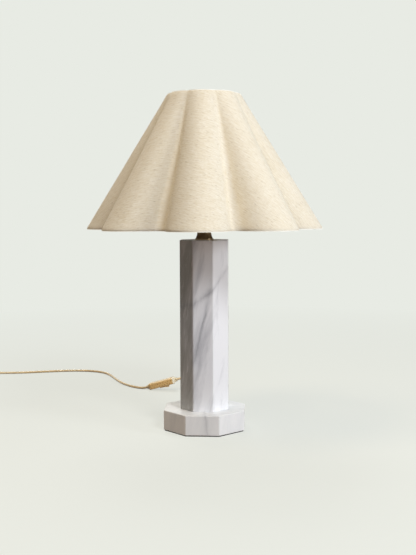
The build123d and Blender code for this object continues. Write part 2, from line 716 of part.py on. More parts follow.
def switch_room():
    """The hollow inside the two shells, and the holes in the ends for the sleeves."""
    room = Box(
        SWITCH_LENGTH - 2 * SWITCH_SLEEVE_INSIDE,
        SWITCH_WIDTH - 2 * SWITCH_WALL,
        SWITCH_THICKNESS - 2 * SWITCH_WALL,
    )
    room = fillet(room.edges().filter_by(Axis.Z), SWITCH_CORNER - SWITCH_WALL)
    return room + Rot(0, 90, 0) * Cylinder(SWITCH_SLEEVE_DIAMETER / 2, 2 * SWITCH_LENGTH)


def half_space():
    """A block that takes in one of the two shells."""
    return Box(2 * SWITCH_LENGTH, 2 * SWITCH_WIDTH, SWITCH_THICKNESS)


def screw_places():
    return [
        Pos(-SCREW_SPACING / 2, SCREW_SIDE, 0),
        Pos(SCREW_SPACING / 2, -SCREW_SIDE, 0),
    ]


def rocker_window():
    size = (ROCKER_LENGTH + 2 * ROCKER_PLAY, ROCKER_WIDTH + 2 * ROCKER_PLAY)
    return Pos(ROCKER_OFFSET, 0, 0) * extrude(Rectangle(*size), SWITCH_THICKNESS)


def rocker_pin_blank(diameter, length):
    return Pos(ROCKER_OFFSET, 0, ROCKER_PIN_HEIGHT) * Rot(90, 0, 0) * Cylinder(diameter / 2, length)


def switch_front_shell():
    """The half with the rocker. Two posts take the screws and two cheeks carry the rocker's pin."""
    half = switch_blank() & Pos(0, 0, HALF_THICKNESS) * half_space()
    shell = half - switch_room()
    for place in screw_places():
        post = place * extrude(Circle(SCREW_HEAD_DIAMETER / 2), HALF_THICKNESS - SWITCH_WALL)
        shell += post
    cheek_gap = ROCKER_WIDTH / 2 + ROCKER_PLAY
    cheek_wide = ROCKER_PIN_LENGTH / 2 - cheek_gap
    for side in (-1, 1):
        cheek = Box(CHEEK_LENGTH, cheek_wide, HALF_THICKNESS - CHEEK_SHORTER, align=ON_FLOOR)
        shell += Pos(ROCKER_OFFSET, side * (cheek_gap + cheek_wide / 2), CHEEK_LIFT) * cheek
    shell -= rocker_window()
    shell -= rocker_pin_blank(ROCKER_PIN_DIAMETER, ROCKER_PIN_LENGTH)
    for place in screw_places():
        shell -= place * Cylinder(SCREW_DIAMETER / 2, 2 * (HALF_THICKNESS - SWITCH_WALL))
    return SWITCH.location * shell


def switch_back_shell():
    """The half with the countersunk screw holes; it lies uppermost."""
    half = switch_blank() & Pos(0, 0, -HALF_THICKNESS) * half_space()
    shell = half - switch_room()
    for place in screw_places():
        boss = extrude(Circle(SCREW_HEAD_DIAMETER / 2 + BOSS_WALL), HALF_THICKNESS - BOSS_START)
        shell += place * Pos(0, 0, -HALF_THICKNESS + BOSS_START) * boss
        shell -= place * Cylinder(SCREW_DIAMETER / 2, 3 * SWITCH_THICKNESS)
        shell -= place * Pos(0, 0, -HALF_THICKNESS) * Cylinder(
            SCREW_HEAD_DIAMETER / 2 + SLIP / 2, 2 * (SCREW_HEAD_THICKNESS + SCREW_SUNK)
        )
    return SWITCH.location * shell


def switch_screws():
    """Two slotted screws that hold the shells together."""
    seat = -HALF_THICKNESS + SCREW_HEAD_THICKNESS + SCREW_SUNK
    pair = []
    for place in screw_places():
        head = extrude(Circle(SCREW_HEAD_DIAMETER / 2), SCREW_HEAD_THICKNESS)
        slot = Box(2 * SCREW_HEAD_DIAMETER, SLOT_WIDTH, 2 * SCREW_SLOT_DEPTH)
        head = Pos(0, 0, seat - SCREW_HEAD_THICKNESS) * (head - slot)
        shank = Pos(0, 0, seat) * extrude(Circle(SCREW_DIAMETER / 2), HALF_THICKNESS - SWITCH_WALL - seat)
        pair.append(SWITCH.location * place * (head + shank))
    return pair


def switch_sleeves():
    """Pale end sleeves that the cord runs through."""
    length = SWITCH_SLEEVE_LENGTH
    pair = []
    for side in (-1, 1):
        sleeve = Cylinder(SWITCH_SLEEVE_DIAMETER / 2, length) - Cylinder(CORD_DIAMETER / 2, length)
        middle = side * (SWITCH_LENGTH / 2 - SWITCH_SLEEVE_INSIDE + length / 2)
        pair.append(SWITCH.location * Pos(middle, 0, 0) * Rot(0, 90, 0) * sleeve)
    return pair


SLEEVE_END = SWITCH_LENGTH / 2 - SWITCH_SLEEVE_INSIDE + SWITCH_SLEEVE_LENGTH
LEAD_END = SWITCH_LENGTH / 2 - SWITCH_SLEEVE_INSIDE - LEAD_LENGTH


def switch_leads():
    """The two ends of cord in the sleeves and just inside the shells."""
    pair = []
    for side in (-1, 1):
        lead = Rot(0, 90, 0) * Cylinder(CORD_DIAMETER / 2, SLEEVE_END - LEAD_END)
        pair.append(SWITCH.location * Pos(side * (SLEEVE_END + LEAD_END) / 2, 0, 0) * lead)
    return pair


def switch_rocker():
    """The rocker: two slanting pads that meet in a shallow valley, at rest tipped one way."""
    half = ROCKER_LENGTH / 2
    middle = ROCKER_PIN_DEPTH + ROCKER_HEIGHT
    edge = middle + ROCKER_CROWN
    keel = half - ROCKER_KEEL_SLANT
    profile = Polyline(
        (-half, -ROCKER_KEEL_END), (-keel, -ROCKER_KEEL), (keel, -ROCKER_KEEL), (half, -ROCKER_KEEL_END),
        (half, edge - ROCKER_EDGE), (half - ROCKER_EDGE, edge), (0, middle),
        (-half + ROCKER_EDGE, edge), (-half, edge - ROCKER_EDGE),
        close=True,
    )
    body = extrude(Plane.XZ * make_face(profile), ROCKER_WIDTH / 2, both=True)
    body -= Rot(90, 0, 0) * Cylinder(ROCKER_PIN_DIAMETER / 2 + ROCKER_PIN_PLAY, 2 * ROCKER_WIDTH)
    place = Pos(ROCKER_OFFSET, 0, ROCKER_PIN_HEIGHT) * Rot(0, -ROCKER_TILT, 0)
    return SWITCH.location * place * body


def rocker_pin():
    return SWITCH.location * rocker_pin_blank(ROCKER_PIN_DIAMETER, ROCKER_PIN_LENGTH)


def switch_contacts():
    """A fixed brass strip on the floor of the back shell under each end of the rocker."""
    floor = -HALF_THICKNESS + SWITCH_WALL
    pair = []
    for side in (-1, 1):
        strip = Box(STRIP_LENGTH, STRIP_WIDTH, STRIP_THICKNESS, align=ON_FLOOR)
        stud = Cylinder(STUD_DIAMETER / 2, STUD_HEIGHT, align=ON_FLOOR)
        stud = Pos(side * STUD_OFFSET, 0, STRIP_THICKNESS) * stud
        middle = ROCKER_OFFSET + side * (ROCKER_LENGTH / 2 - STRIP_INSET)
        pair.append(SWITCH.location * Pos(middle, 0, floor) * (strip + stud))
    return pair


# ---------------------------------------------------------------- free cord, coil, tie and plug
def switch_point(distance):
    """A point on the switch's long axis, measured from its middle."""
    return SWITCH.from_local_coords(Vector(distance, 0, 0))


def path_to_switch():
    last = [tuple(switch_point(SLEEVE_END + RUN_INTO_SWITCH)), tuple(switch_point(SLEEVE_END))]
    return ROUTE_TO_SWITCH + last


def path_to_coil():
    top = CORD_FLOOR + COIL_LIFT
    end = (COIL_MIDDLE.X + CORD_DIAMETER, COIL_MIDDLE.Y + coil_outer_radius(), top)
    before_end = (end[0] + RUN_INTO_COIL, end[1], top)
    points = [tuple(switch_point(-SLEEVE_END)), tuple(switch_point(-SLEEVE_END - RUN_OUT_OF_SWITCH))]
    return points + ROUTE_TO_COIL + [before_end, end]


def coil_outer_radius():
    return COIL_INNER_RADIUS + COIL_HALF_TURNS_IN * COIL_PITCH / 2


def coil_stations():
    """Where the coil crosses its middle line: in along the floor, up a layer, out again on top."""
    floor = CORD_FLOOR + COIL_LIFT
    radii = [COIL_INNER_RADIUS + k * COIL_PITCH / 2 for k in range(COIL_HALF_TURNS_IN, -1, -1)]
    heights = [floor] * len(radii)
    radii += [COIL_INNER_RADIUS + k * COIL_PITCH / 2 for k in range(COIL_HALF_TURNS_OUT + 1)]
    heights += [floor + COIL_LAYER] * (COIL_HALF_TURNS_OUT + 1)
    stations = []
    side = 1
    for radius, height in zip(radii, heights):
        stations.append(Vector(COIL_MIDDLE.X, COIL_MIDDLE.Y + side * radius, height))
        side = -side
    return stations


def coil_path():
    """Half turns between the stations, with a short straight at each end."""
    stations = coil_stations()
    lead = Vector(CORD_DIAMETER, 0, 0)
    edges = [Line(stations[0] + lead, stations[0])]
    heading = Vector(-1, 0, 0)
    for start, end in zip(stations, stations[1:]):
        middle = (start + end) * 0.5
        outermost = middle + heading * ((end - start).length / 2)
        edges.append(ThreePointArc(start, outermost, end))
        heading = heading * -1
    edges.append(Line(stations[-1], stations[-1] + heading * CORD_DIAMETER))
    return Wire(edges)


def least_gap(path):
    """The least clear distance between turns, measured on points along the path."""
    count = 600
    spots = [path.position_at(i / count) for i in range(count + 1)]
    skip = int(count * 3 * CORD_DIAMETER / path.length)
    best = min(
        (spots[i] - spots[j]).length
        for i in range(count + 1)
        for j in range(i + skip, count + 1)
    )
    return best - CORD_DIAMETER


def path_of_tail(start):
    """From the top of the coil down beside it to the plug."""
    level = PLUG_THICKNESS / 2
    heights = [start.Z, start.Z - TAIL_DROP, level + TAIL_EASE, level, level]
    points = [(start.X, start.Y, start.Z)]
    for (across, back), height in zip(ROUTE_FROM_COIL, heights):
        points.append((start.X + across, start.Y + back, height))
    return points


def cord_tie():
    """A strap closed round all the turns on the side nearest the floor's front."""
    inner = COIL_INNER_RADIUS - CORD_DIAMETER / 2 - TIE_PLAY
    outer = coil_outer_radius() + CORD_DIAMETER / 2 + TIE_PLAY
    top = CORD_FLOOR + COIL_LIFT + COIL_LAYER + CORD_DIAMETER / 2 + TIE_PLAY
    section = Rectangle(outer - inner + 2 * TIE_THICKNESS, top + TIE_THICKNESS)
    opening = Rectangle(outer - inner, top - TIE_THICKNESS)
    loop = extrude(section - opening, TIE_WIDTH / 2, both=True)
    loop = Rot(90, 0, 0) * loop
    middle = (outer + inner) / 2
    return Pos(COIL_MIDDLE.X + middle, COIL_MIDDLE.Y, (top + TIE_THICKNESS) / 2) * loop


def plug(end):
    """A flat two-pin plug lying on its side face, its pins towards -Y; body, pins and sleeves."""
    face = PLUG_TAIL + PLUG_LENGTH
    wide = PLUG_WIDTH / 2
    waist = PLUG_WAIST / 2
    shoulder = PLUG_TAIL + PLUG_SHOULDER
    root = PLUG_TAIL + TAIL_LAP
    outline = Polyline(
        (-waist, -PLUG_TAIL), (-wide, -shoulder), (-wide, -face),
        (wide, -face), (wide, -shoulder), (waist, -PLUG_TAIL),
        close=True,
    )
    body = extrude(make_face(outline), PLUG_THICKNESS / 2, both=True)
    body = fillet(body.edges().filter_by(Axis.Z), PLUG_CORNER)
    body = fillet(body.edges().group_by(Axis.Z)[0] + body.edges().group_by(Axis.Z)[-1], PLUG_EDGE)
    tail = revolve(
        make_face(Polyline(
            (0, 0), (PLUG_TAIL_TIP / 2, 0), (PLUG_TAIL_ROOT / 2, -root), (0, -root),
            close=True,
        )),
        Axis.Y,
    )
    body += tail
    place = Pos(end.X, end.Y, end.Z)
    pins = []
    sleeves = []
    for side in (-1, 1):
        at = Plane(origin=(side * PIN_SPACING / 2, -face, 0), z_dir=(0, -1, 0))
        pin = at * extrude(Circle(PIN_DIAMETER / 2), PIN_LENGTH)
        pin = fillet(pin.edges().group_by(Axis.Y)[0], PIN_TIP)
        core = at * extrude(Circle(PIN_DIAMETER / 2 - PIN_SLEEVE_WALL), PIN_SLEEVE)
        jacket = at * extrude(Circle(PIN_DIAMETER / 2), PIN_SLEEVE)
        sleeves.append(place * (jacket - core))
        pins.append(place * (pin - (jacket - core)))
    return place * body, pins, sleeves


# ---------------------------------------------------------------- putting it together
def group(solids):
    return Compound(children=[Part(s.wrapped) if not isinstance(s, Part) else s for s in solids])


def build():
    parts = {
        "felt_pad": felt_pad(),
        "plinth": plinth(),
        "column": column(),
        "threaded_rod": threaded_rod(),
        "bottom_washer": ring(WASHER_DIAMETER, ROD_DIAMETER + SLIP, WASHER_THICKNESS, LOCK_WASHER_TOP),
        "lock_washer": lock_washer(),
        "bottom_nut": hexagon_nut(NUT_FLATS, NUT_THICKNESS, NUT_TOP - NUT_THICKNESS),
        "top_washer": ring(TOP_WASHER_DIAMETER, ROD_DIAMETER + SLIP, TOP_WASHER_THICKNESS, COLUMN_TOP),
        "top_nut": hexagon_nut(TOP_NUT_FLATS, TOP_NUT_THICKNESS, COLUMN_TOP + TOP_WASHER_THICKNESS),
        "column_cap": column_cap(),
        "holder_dome": holder_dome(),
        "holder_insert": holder_insert(),
        "holder_terminals": terminals(),
        "screw_shell": screw_shell(),
        "centre_contact": centre_contact(),
        "holder_sleeve": holder_sleeve(),
        "lower_shade_ring": shade_ring(LOWER_RING_BOTTOM),
        "upper_shade_ring": shade_ring(UPPER_RING_BOTTOM),
        "bulb_glass": bulb_glass(),
        "bulb_cap": bulb_cap(),
        "bulb_tip": bulb_tip(),
        "cord_bush": cord_bush(),
        "inner_cord": inner_cord(),
        "core_wires": core_wires(),
        "switch_front_shell": switch_front_shell(),
        "switch_back_shell": switch_back_shell(),
        "switch_screws": switch_screws(),
        "switch_sleeves": switch_sleeves(),
        "switch_leads": switch_leads(),
        "switch_rocker": switch_rocker(),
        "rocker_pin": rocker_pin(),
        "switch_contacts": switch_contacts(),
        "cord_tie": cord_tie(),
    }

    outside = petal_core(0)
    between = petal_core(LINEN_THICKNESS)
    inside = petal_core(LINEN_THICKNESS + LINING_THICKNESS)
    parts["shade_linen"] = outside - between
    parts["shade_lining"] = between - inside
    parts["bottom_wire"] = rim_wire(SHADE_BOTTOM + WIRE_DIAMETER / 2)
    parts["top_wire"] = rim_wire(SHADE_TOP - WIRE_DIAMETER / 2)
    parts["fitter_ring"] = fitter_ring()
    parts["spider_arms"] = spider_arms(parts["bottom_wire"], parts["fitter_ring"])

    coil = coil_path()
    tail_points = path_of_tail(coil @ 1)
    for name, points in (
        ("cord_to_switch", path_to_switch()),
        ("cord_to_coil", path_to_coil()),
        ("cord_to_plug", tail_points),
    ):
        path = cord_path(points)
        parts[name] = tube_along(path, CORD_DIAMETER)
        print(name, "radii", [round(r) for r in cord_radii(points)])
        report_cord(name, path, parts[name])
    parts["cord_coil"] = tube_along(coil, CORD_DIAMETER)
    report_cord("cord_coil", coil, parts["cord_coil"])
    print(f"cord_coil: least gap between turns {least_gap(coil):.2f} mm")
    body, pins, sleeves = plug(Vector(tail_points[-1]))
    parts["plug_body"] = body
    parts["plug_pins"] = pins
    parts["plug_pin_sleeves"] = sleeves
    return parts


def main():
    os.makedirs("parts", exist_ok=True)
    for name, shape in build().items():
        if isinstance(shape, list):
            shape = group(shape)
        export_step(shape, f"parts/{name}.step")


main()
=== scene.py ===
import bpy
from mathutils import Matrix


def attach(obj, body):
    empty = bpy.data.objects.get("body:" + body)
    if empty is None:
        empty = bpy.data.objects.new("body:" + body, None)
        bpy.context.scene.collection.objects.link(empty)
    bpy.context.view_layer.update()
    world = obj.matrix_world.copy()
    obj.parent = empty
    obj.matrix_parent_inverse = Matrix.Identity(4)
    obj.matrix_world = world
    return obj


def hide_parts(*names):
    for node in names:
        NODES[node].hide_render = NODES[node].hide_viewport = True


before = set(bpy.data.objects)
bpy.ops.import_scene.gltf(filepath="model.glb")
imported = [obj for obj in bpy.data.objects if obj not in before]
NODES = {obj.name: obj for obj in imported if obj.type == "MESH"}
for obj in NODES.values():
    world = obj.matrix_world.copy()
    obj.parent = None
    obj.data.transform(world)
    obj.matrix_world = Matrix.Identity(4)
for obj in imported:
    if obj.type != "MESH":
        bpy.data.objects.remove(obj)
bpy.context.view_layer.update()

# %% [markdown]
# A table lamp is dressed here: an eight-sided marble column, a petal shade of linen and a golden cord
# with a switch in it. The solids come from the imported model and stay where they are. Hard pieces keep
# their solid and only get a finish. Soft pieces, the cord and the linen, are built again, because cloth
# and cord need a finer surface than a solid has. All lengths are in metres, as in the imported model.

# %% Tools and colours
import math

import bpy
from mathutils import Matrix, Vector

MM = 0.001


def colour(red, green, blue):
    """A colour seen on a screen, 0 to 255, as the light values that a shader needs."""
    parts = []
    for part in (red, green, blue):
        part /= 255
        parts.append(part / 12.92 if part <= 0.04045 else ((part + 0.055) / 1.055) ** 2.4)
    return (*parts, 1.0)


print("one grey", [round(x, 3) for x in colour(128, 128, 128)])

# %% [markdown]
# The camera. The picture was taken from a little above the foot of the shade with a fairly long lens.
# Eye point, aim and lens were solved from the corners of the marble and the rims of the shade, so they
# are numbers here. Aiming at an empty would do too, but a direct matrix also holds the slight roll.

# %% Camera
EYE = Vector((94.35, -1499.6, 374.4)) * MM
AROUND = math.radians(3.369)
DOWN = math.radians(4.571)
ROLL = math.radians(-0.178)
PICTURE_HEIGHT = 555
FOCAL_PIXELS = 900.0
SENSOR_HEIGHT = 24.0

ahead = Vector((-math.sin(AROUND) * math.cos(DOWN), math.cos(AROUND) * math.cos(DOWN), -math.sin(DOWN)))
level = Vector((math.cos(AROUND), math.sin(AROUND), 0))
upward = level.cross(ahead)
right = math.cos(ROLL) * level + math.sin(ROLL) * upward
top = -math.sin(ROLL) * level + math.cos(ROLL) * upward

camera_data = bpy.data.cameras.new("camera")
camera_data.sensor_fit = "VERTICAL"
camera_data.sensor_height = SENSOR_HEIGHT
camera_data.lens = FOCAL_PIXELS / PICTURE_HEIGHT * SENSOR_HEIGHT
camera = bpy.data.objects.new("camera", camera_data)
bpy.context.collection.objects.link(camera)
camera.matrix_world = Matrix.Translation(EYE) @ Matrix((right, top, -ahead)).transposed().to_4x4()
bpy.context.scene.camera = camera
print("lens", round(camera_data.lens, 2), "mm")


# %% [markdown]
# A finish is a tree of nodes, and most of it is sums. Laying out each Math node by hand is slow to read,
# so one small class wraps an output: plus, minus, times and so on make the Math node and return its
# output. Every other node comes from its one method, node().

# %% Node helper
class Flow:
    """A value on its way between nodes."""

    def __init__(self, tree, socket=None):
        self.tree, self.socket = tree, socket

    def node(self, kind, settings=None, inputs=None, output=0):
        made = self.tree.nodes.new(kind)
        for name, value in (settings or {}).items():
            setattr(made, name, value)
        for name, value in (inputs or {}).items():
            self.join(made.inputs[name], value)
        return Flow(self.tree, made.outputs[output])

    def join(self, socket, value):
        if isinstance(value, Flow):
            self.tree.links.new(value.socket, socket)
        else:
            socket.default_value = value

    def math(self, operation, *values, clamp=False):
        places = dict(enumerate(values))
        return self.node("ShaderNodeMath", {"operation": operation, "use_clamp": clamp}, places)

    def __add__(self, other):
        return self.math("ADD", self, other)

    def __radd__(self, other):
        return self.math("ADD", other, self)

    def __sub__(self, other):
        return self.math("SUBTRACT", self, other)

    def __rsub__(self, other):
        return self.math("SUBTRACT", other, self)

    def __mul__(self, other):
        return self.math("MULTIPLY", self, other)

    def __rmul__(self, other):
        return self.math("MULTIPLY", other, self)

    def __truediv__(self, other):
        return self.math("DIVIDE", self, other)

    def __rtruediv__(self, other):
        return self.math("DIVIDE", other, self)

    def __abs__(self):
        return self.math("ABSOLUTE", self)

    def held(self):
        """The value kept between 0 and 1."""
        return self.math("ADD", self, 0.0, clamp=True)

    def mixed(self, start, end):
        """Colour start where this value is 0, colour end where it is 1."""
        return self.node("ShaderNodeMix", {"data_type": "RGBA"}, {0: self, 6: start, 7: end}, 2)

    def speckle(self, place, size, detail=2.0, rough=0.5, warp=0.0):
        """Soft random values about 0.5, in grains of that size in metres."""
        facts = {"Vector": place, "Scale": 1 / size, "Detail": detail, "Roughness": rough, "Distortion": warp}
        return self.node("ShaderNodeTexNoise", {}, facts)

    def parts(self):
        """The three parts of a vector."""
        split = self.node("ShaderNodeSeparateXYZ", {}, {0: self})
        sockets = split.socket.node.outputs
        return [Flow(self.tree, sockets[k]) for k in range(3)]

    def vector(self, x, y, z):
        return self.node("ShaderNodeCombineXYZ", {}, {0: x, 1: y, 2: z})

    def stretched(self, x, y, z, turn=(0.0, 0.0, 0.0)):
        """The same place with its axes turned, then scaled, for grain that runs one way."""
        facts = {"Vector": self, "Rotation": turn, "Scale": (x, y, z)}
        return self.node("ShaderNodeMapping", {"vector_type": "TEXTURE"}, facts)


# %% [markdown]
# Every finish starts from one shader and reads the place on the piece, so its pattern stays with the piece
# when a joint moves. Relief is drawn in the shader only where it is finer than the mesh.


# %% A finish and its shader
def finish(name, base, rough=0.5, metal=0.0, **constants):
    """A material with its shader, an empty flow and the place on the piece."""
    material = bpy.data.materials.new(name)
    material.use_nodes = True
    shader = material.node_tree.nodes["Principled BSDF"]
    shader.inputs["Base Color"].default_value = base
    shader.inputs["Roughness"].default_value = rough
    shader.inputs["Metallic"].default_value = metal
    for words, value in constants.items():
        shader.inputs[words.replace("_", " ")].default_value = value
    material.diffuse_color = base
    flow = Flow(material.node_tree)
    place = flow.node("ShaderNodeTexCoord", {}, {}, "Object")
    return material, shader, flow, place


def relief(flow, shader, height, depth, share=1.0):
    """Fine relief: the height, 0 to 1, stands that many metres proud."""
    facts = {"Height": height, "Distance": depth, "Strength": share}
    flow.join(shader.inputs["Normal"], flow.node("ShaderNodeBump", {}, facts))


def dress(material, *names):
    """Give CAD nodes this finish."""
    for name in names:
        slots = NODES[name].data.materials
        slots.clear()
        slots.append(material)
    print(material.name, "on", len(names), "solids")


# %% [markdown]
# The stage. The lamp stands on a plain pale floor before a pale background. The background is the world
# seen by the camera, which is the simplest even one. Diffuse rays see a dim fill instead, so that the
# lamps and not the world draw the form.

# %% World
PALE = colour(232, 235, 228)
FILL = colour(85, 82, 79)


def rays(flow, *kinds):
    """1 for rays of these kinds, 0 for all others."""
    outputs = flow.node("ShaderNodeLightPath").socket.node.outputs
    mask = Flow(flow.tree, outputs[f"Is {kinds[0]} Ray"])
    for kind in kinds[1:]:
        mask = flow.math("MAXIMUM", mask, Flow(flow.tree, outputs[f"Is {kind} Ray"]))
    return mask


world = bpy.data.worlds.new("room")
world.use_nodes = True
bpy.context.scene.world = world
air = Flow(world.node_tree)
backdrop = world.node_tree.nodes["Background"]
air.join(backdrop.inputs["Color"], rays(air, "Camera", "Glossy", "Transmission").mixed(FILL, PALE))
backdrop.inputs["Strength"].default_value = 1.0
print("world", len(world.node_tree.nodes), "nodes")

# %% [markdown]
# The floor is a wide square that fades into the background's colour with distance, so no horizon shows.
# A curved backdrop would do too, but it would stand in the way of views from the sides. Near the lamp the
# floor takes the lamp's shadow. Diffuse light sees a darker floor, so that little light comes up from
# below and the low parts keep their depth.

# %% Floor
FLOOR_SIZE = 9.0
FADE_FROM, FADE_OVER = 0.35, 1.5
EVEN_NEAR, EVEN_FAR = 0.66, 1.0

floor_mesh = bpy.data.meshes.new("floor")
edge = FLOOR_SIZE / 2
corners = [(-edge, -edge, 0), (edge, -edge, 0), (edge, edge, 0), (-edge, edge, 0)]
floor_mesh.from_pydata(corners, [], [(0, 1, 2, 3)])
floor = bpy.data.objects.new("floor", floor_mesh)
bpy.context.collection.objects.link(floor)

ground, _, flow, place = finish("pale_floor", colour(226, 226, 220), 0.9)
outlet = ground.node_tree.nodes["Material Output"]
across, back, _ = place.parts()
far = flow.math("SQRT", across * across + back * back)
fade = EVEN_NEAR + (EVEN_FAR - EVEN_NEAR) * ((far - FADE_FROM) / FADE_OVER).held()
seen = rays(flow, "Camera", "Glossy")
floor_colour = seen.mixed(colour(122, 102, 90), colour(236, 238, 232))
lit = flow.node("ShaderNodeBsdfDiffuse", {}, {"Color": floor_colour})
even = flow.node("ShaderNodeEmission", {}, {"Color": PALE, "Strength": 1.0})
flow.join(outlet.inputs["Surface"], flow.node("ShaderNodeMixShader", {}, {0: seen * fade, 1: lit, 2: even}))
floor_mesh.materials.append(ground)
print("floor", FLOOR_SIZE, "m wide")


# %% [markdown]
# Four soft discs. A low one on the right reaches in under the shade and lights the right faces all the
# way up. One in front on the right is higher, so the shade throws a soft shadow over the column's top.
# A warm one high on the left front colours the linen's left flanks, while the shade hides the column
# from it. One behind lights the plinth's top and the back. The world fills the rest. Each disc is set by
# the level it gives on white paper facing it.

# %% Lights
AIM = Vector((0, 0, 0.3))
DISTANCE = 2.5
COOL, WARM, WHITE = (0.94, 0.97, 1.0), (1.0, 0.83, 0.60), (1.0, 1.0, 1.0)


def soft_light(name, around, up, size, level, tint):
    """A disc of that size in metres, seen from the lamp at those two angles in degrees."""
    around, up = math.radians(around), math.radians(up)
    towards = Vector((math.cos(around) * math.cos(up), math.sin(around) * math.cos(up), math.sin(up)))
    data = bpy.data.lights.new(name, "AREA")
    data.shape = "DISK"
    data.size, data.color = size, tint
    data.energy = level * (math.pi * DISTANCE) ** 2
    light = bpy.data.objects.new(name, data)
    bpy.context.collection.objects.link(light)
    turned = (-towards).to_track_quat("-Z", "Y").to_matrix().to_4x4()
    light.matrix_world = Matrix.Translation(AIM + DISTANCE * towards) @ turned
    print(name, round(data.energy, 1), "W")


soft_light("low_right", -22, 10, 0.9, 0.49, COOL)
soft_light("front_right", -57, 36, 0.8, 0.51, COOL)
soft_light("high_left", -148, 60, 1.0, 0.40, WARM)
soft_light("behind", 105, 48, 1.2, 0.36, WHITE)
bpy.context.scene.view_settings.view_transform = "Standard"

# %% [markdown]
# The cord. A mains lead is stiff enough to lie in wide curves, so its centre line is a smooth NURBS
# spline through the route's points, thickened by the curve's own bevel. It leaves the plinth through a
# strain relief, lies on the floor, rises into the switch, and goes on from the switch's lowered end. The
# rest of its 1.8 m is wound into a coil with a strap, just outside the picture, with the plug beside it.

# %% Cord routes, in millimetres as in the solid model
CORD = 4.8
STRAIGHT_IN, STRAIGHT_OUT = 16, 7.5
COIL_APPROACH = 36
TO_SWITCH = [
    (0, 90.8, 10), (0, 106, 10), (0.8, 127, 5.6), (3, 151, 2.4), (7, 181, 2.4), (11.5, 213, 3),
    (12.5, 244, 6), (6, 273, 14.5), (-11, 295, 25), (-34, 304, 31.5),
]
RAISED_END = (-75.738, 304.379, 22.038)
LOWERED_END = (-137.137, 308.241, 4.397)
TO_COIL = [
    (-156, 312.5, 2.4), (-170, 323, 2.4), (-187, 343, 2.4), (-205, 373, 2.4), (-222, 412, 2.4),
    (-238, 450, 2.4), (-259, 480, 2.4), (-292, 496, 2.4), (-338, 496, 2.4), (-390, 482, 2.4),
    (-442, 465, 2.5),
]
SWITCH_ALONG = Vector((0.959365, -0.060358, 0.275637))
SWITCH_ACROSS = Vector((-0.062791, -0.998027, 0.0))

raised, lowered = Vector(RAISED_END), Vector(LOWERED_END)
first_route = [Vector(p) for p in TO_SWITCH] + [raised + SWITCH_ALONG * STRAIGHT_IN, raised]
print("points to the switch", len(first_route))

# %% [markdown]
# The coil is half turns between stations on one line: in along the floor, up a layer, and out again on
# top. Each half turn is given 8 points on its circle, pushed out a little because a spline of this
# kind runs inside its points.

# %% Coil
COIL_X, COIL_Y = -540.0, 420.0
COIL_INNER, COIL_PITCH, COIL_LAYER = 20.5, 6.3, 5.6
HALF_TURNS_IN, HALF_TURNS_OUT = 5, 4
PER_HALF_TURN = 8
TIE_ROOM = 0.8
COIL_FLOOR = CORD / 2 + TIE_ROOM

stations = []
for step in range(HALF_TURNS_IN, -1, -1):
    stations.append((COIL_INNER + step * COIL_PITCH / 2, COIL_FLOOR))
for step in range(HALF_TURNS_OUT + 1):
    stations.append((COIL_INNER + step * COIL_PITCH / 2, COIL_FLOOR + COIL_LAYER))
side = 1
stops = []
for radius, height in stations:
    stops.append(Vector((COIL_X, COIL_Y + side * radius, height)))
    side = -side

heading = Vector((-1, 0, 0))
coil_start = stops[0] + Vector((CORD, 0, 0))
coil_points = [coil_start]
for start, end in zip(stops, stops[1:]):
    middle, reach = (start + end) / 2, (end - start).length / 2
    outwards = (start - end).normalized()
    push = 1 / math.cos(math.pi / PER_HALF_TURN / 2)
    for k in range(PER_HALF_TURN):
        angle = math.pi * (k + 0.5) / PER_HALF_TURN
        spot = middle + reach * push * (math.cos(angle) * outwards + math.sin(angle) * heading)
        spot.z = start.z + (end.z - start.z) * (k + 0.5) / PER_HALF_TURN
        coil_points.append(spot)
    heading = -heading
print("points in the coil", len(coil_points))

# %% [markdown]
# Off the coil's last turn the cord swings round beside it, and comes down to the height of the plug's
# axis, which lies half the plug's thickness above the floor.

# %% Way to the plug
PLUG_HALF = 13.7 / 2

x, y, z = stops[-1] + heading * CORD
tail = [
    (x, y, z), (x - 16, y, z), (x - 34, y - 8, z - 0.5), (x - 47, y - 24, PLUG_HALF + 0.4),
    (x - 50, y - 42, PLUG_HALF), (x - 50, y - 56, PLUG_HALF),
]
second_route = [lowered, lowered - SWITCH_ALONG * STRAIGHT_OUT] + [Vector(p) for p in TO_COIL]
second_route += [coil_start + Vector((COIL_APPROACH, 0, 0))] + coil_points + [Vector(p) for p in tail]
print("points to the plug", len(second_route))


# %% [markdown]
# Both stretches are made the same way: a curve object whose spline takes the route's points as they are.
# A tube of mesh would look the same, but a curve keeps its centre line, so its length can be measured.


# %% Cord pieces
def cord_piece(name, points):
    """A round cord along these points, which are in millimetres."""
    data = bpy.data.curves.new(name, "CURVE")
    data.dimensions = "3D"
    spline = data.splines.new("NURBS")
    spline.points.add(len(points) - 1)
    for point, spot in zip(spline.points, points):
        point.co = (*(Vector(spot) * MM), 1.0)
    spline.order_u = 3
    spline.use_endpoint_u = True
    spline.resolution_u = 6
    data.bevel_depth = CORD / 2 * MM
    data.bevel_resolution = 4
    data.use_fill_caps = True
    piece = bpy.data.objects.new(name, data)
    bpy.context.collection.objects.link(piece)
    print(name, round(spline.calc_length(), 4), "m")
    return piece


lead_to_switch = cord_piece("lead_to_switch", first_route)
lead_to_plug = cord_piece("lead_to_plug", second_route)

# %% [markdown]
# Golden PVC. The cord, the plug and the switch are moulded in the same warm beige. The cord is glossy
# with slow changes of tone along it, and the mouldings have a fine orange-peel skin. The end of the switch
# that the cord lifts gets a painted highlight in pale cream. The dots of its grip get painted shade, a tone
# deeper than the shell. One function makes all four finishes, because they differ only in tone, gloss and
# grain.

# %% Golden plastics
# Painted highlight: the last 8.5 mm of the switch's lifted end are painted pale cream.
HIGHLIGHT_REACH, HIGHLIGHT_CREAM = 8.5 * MM, colour(255, 245, 216)


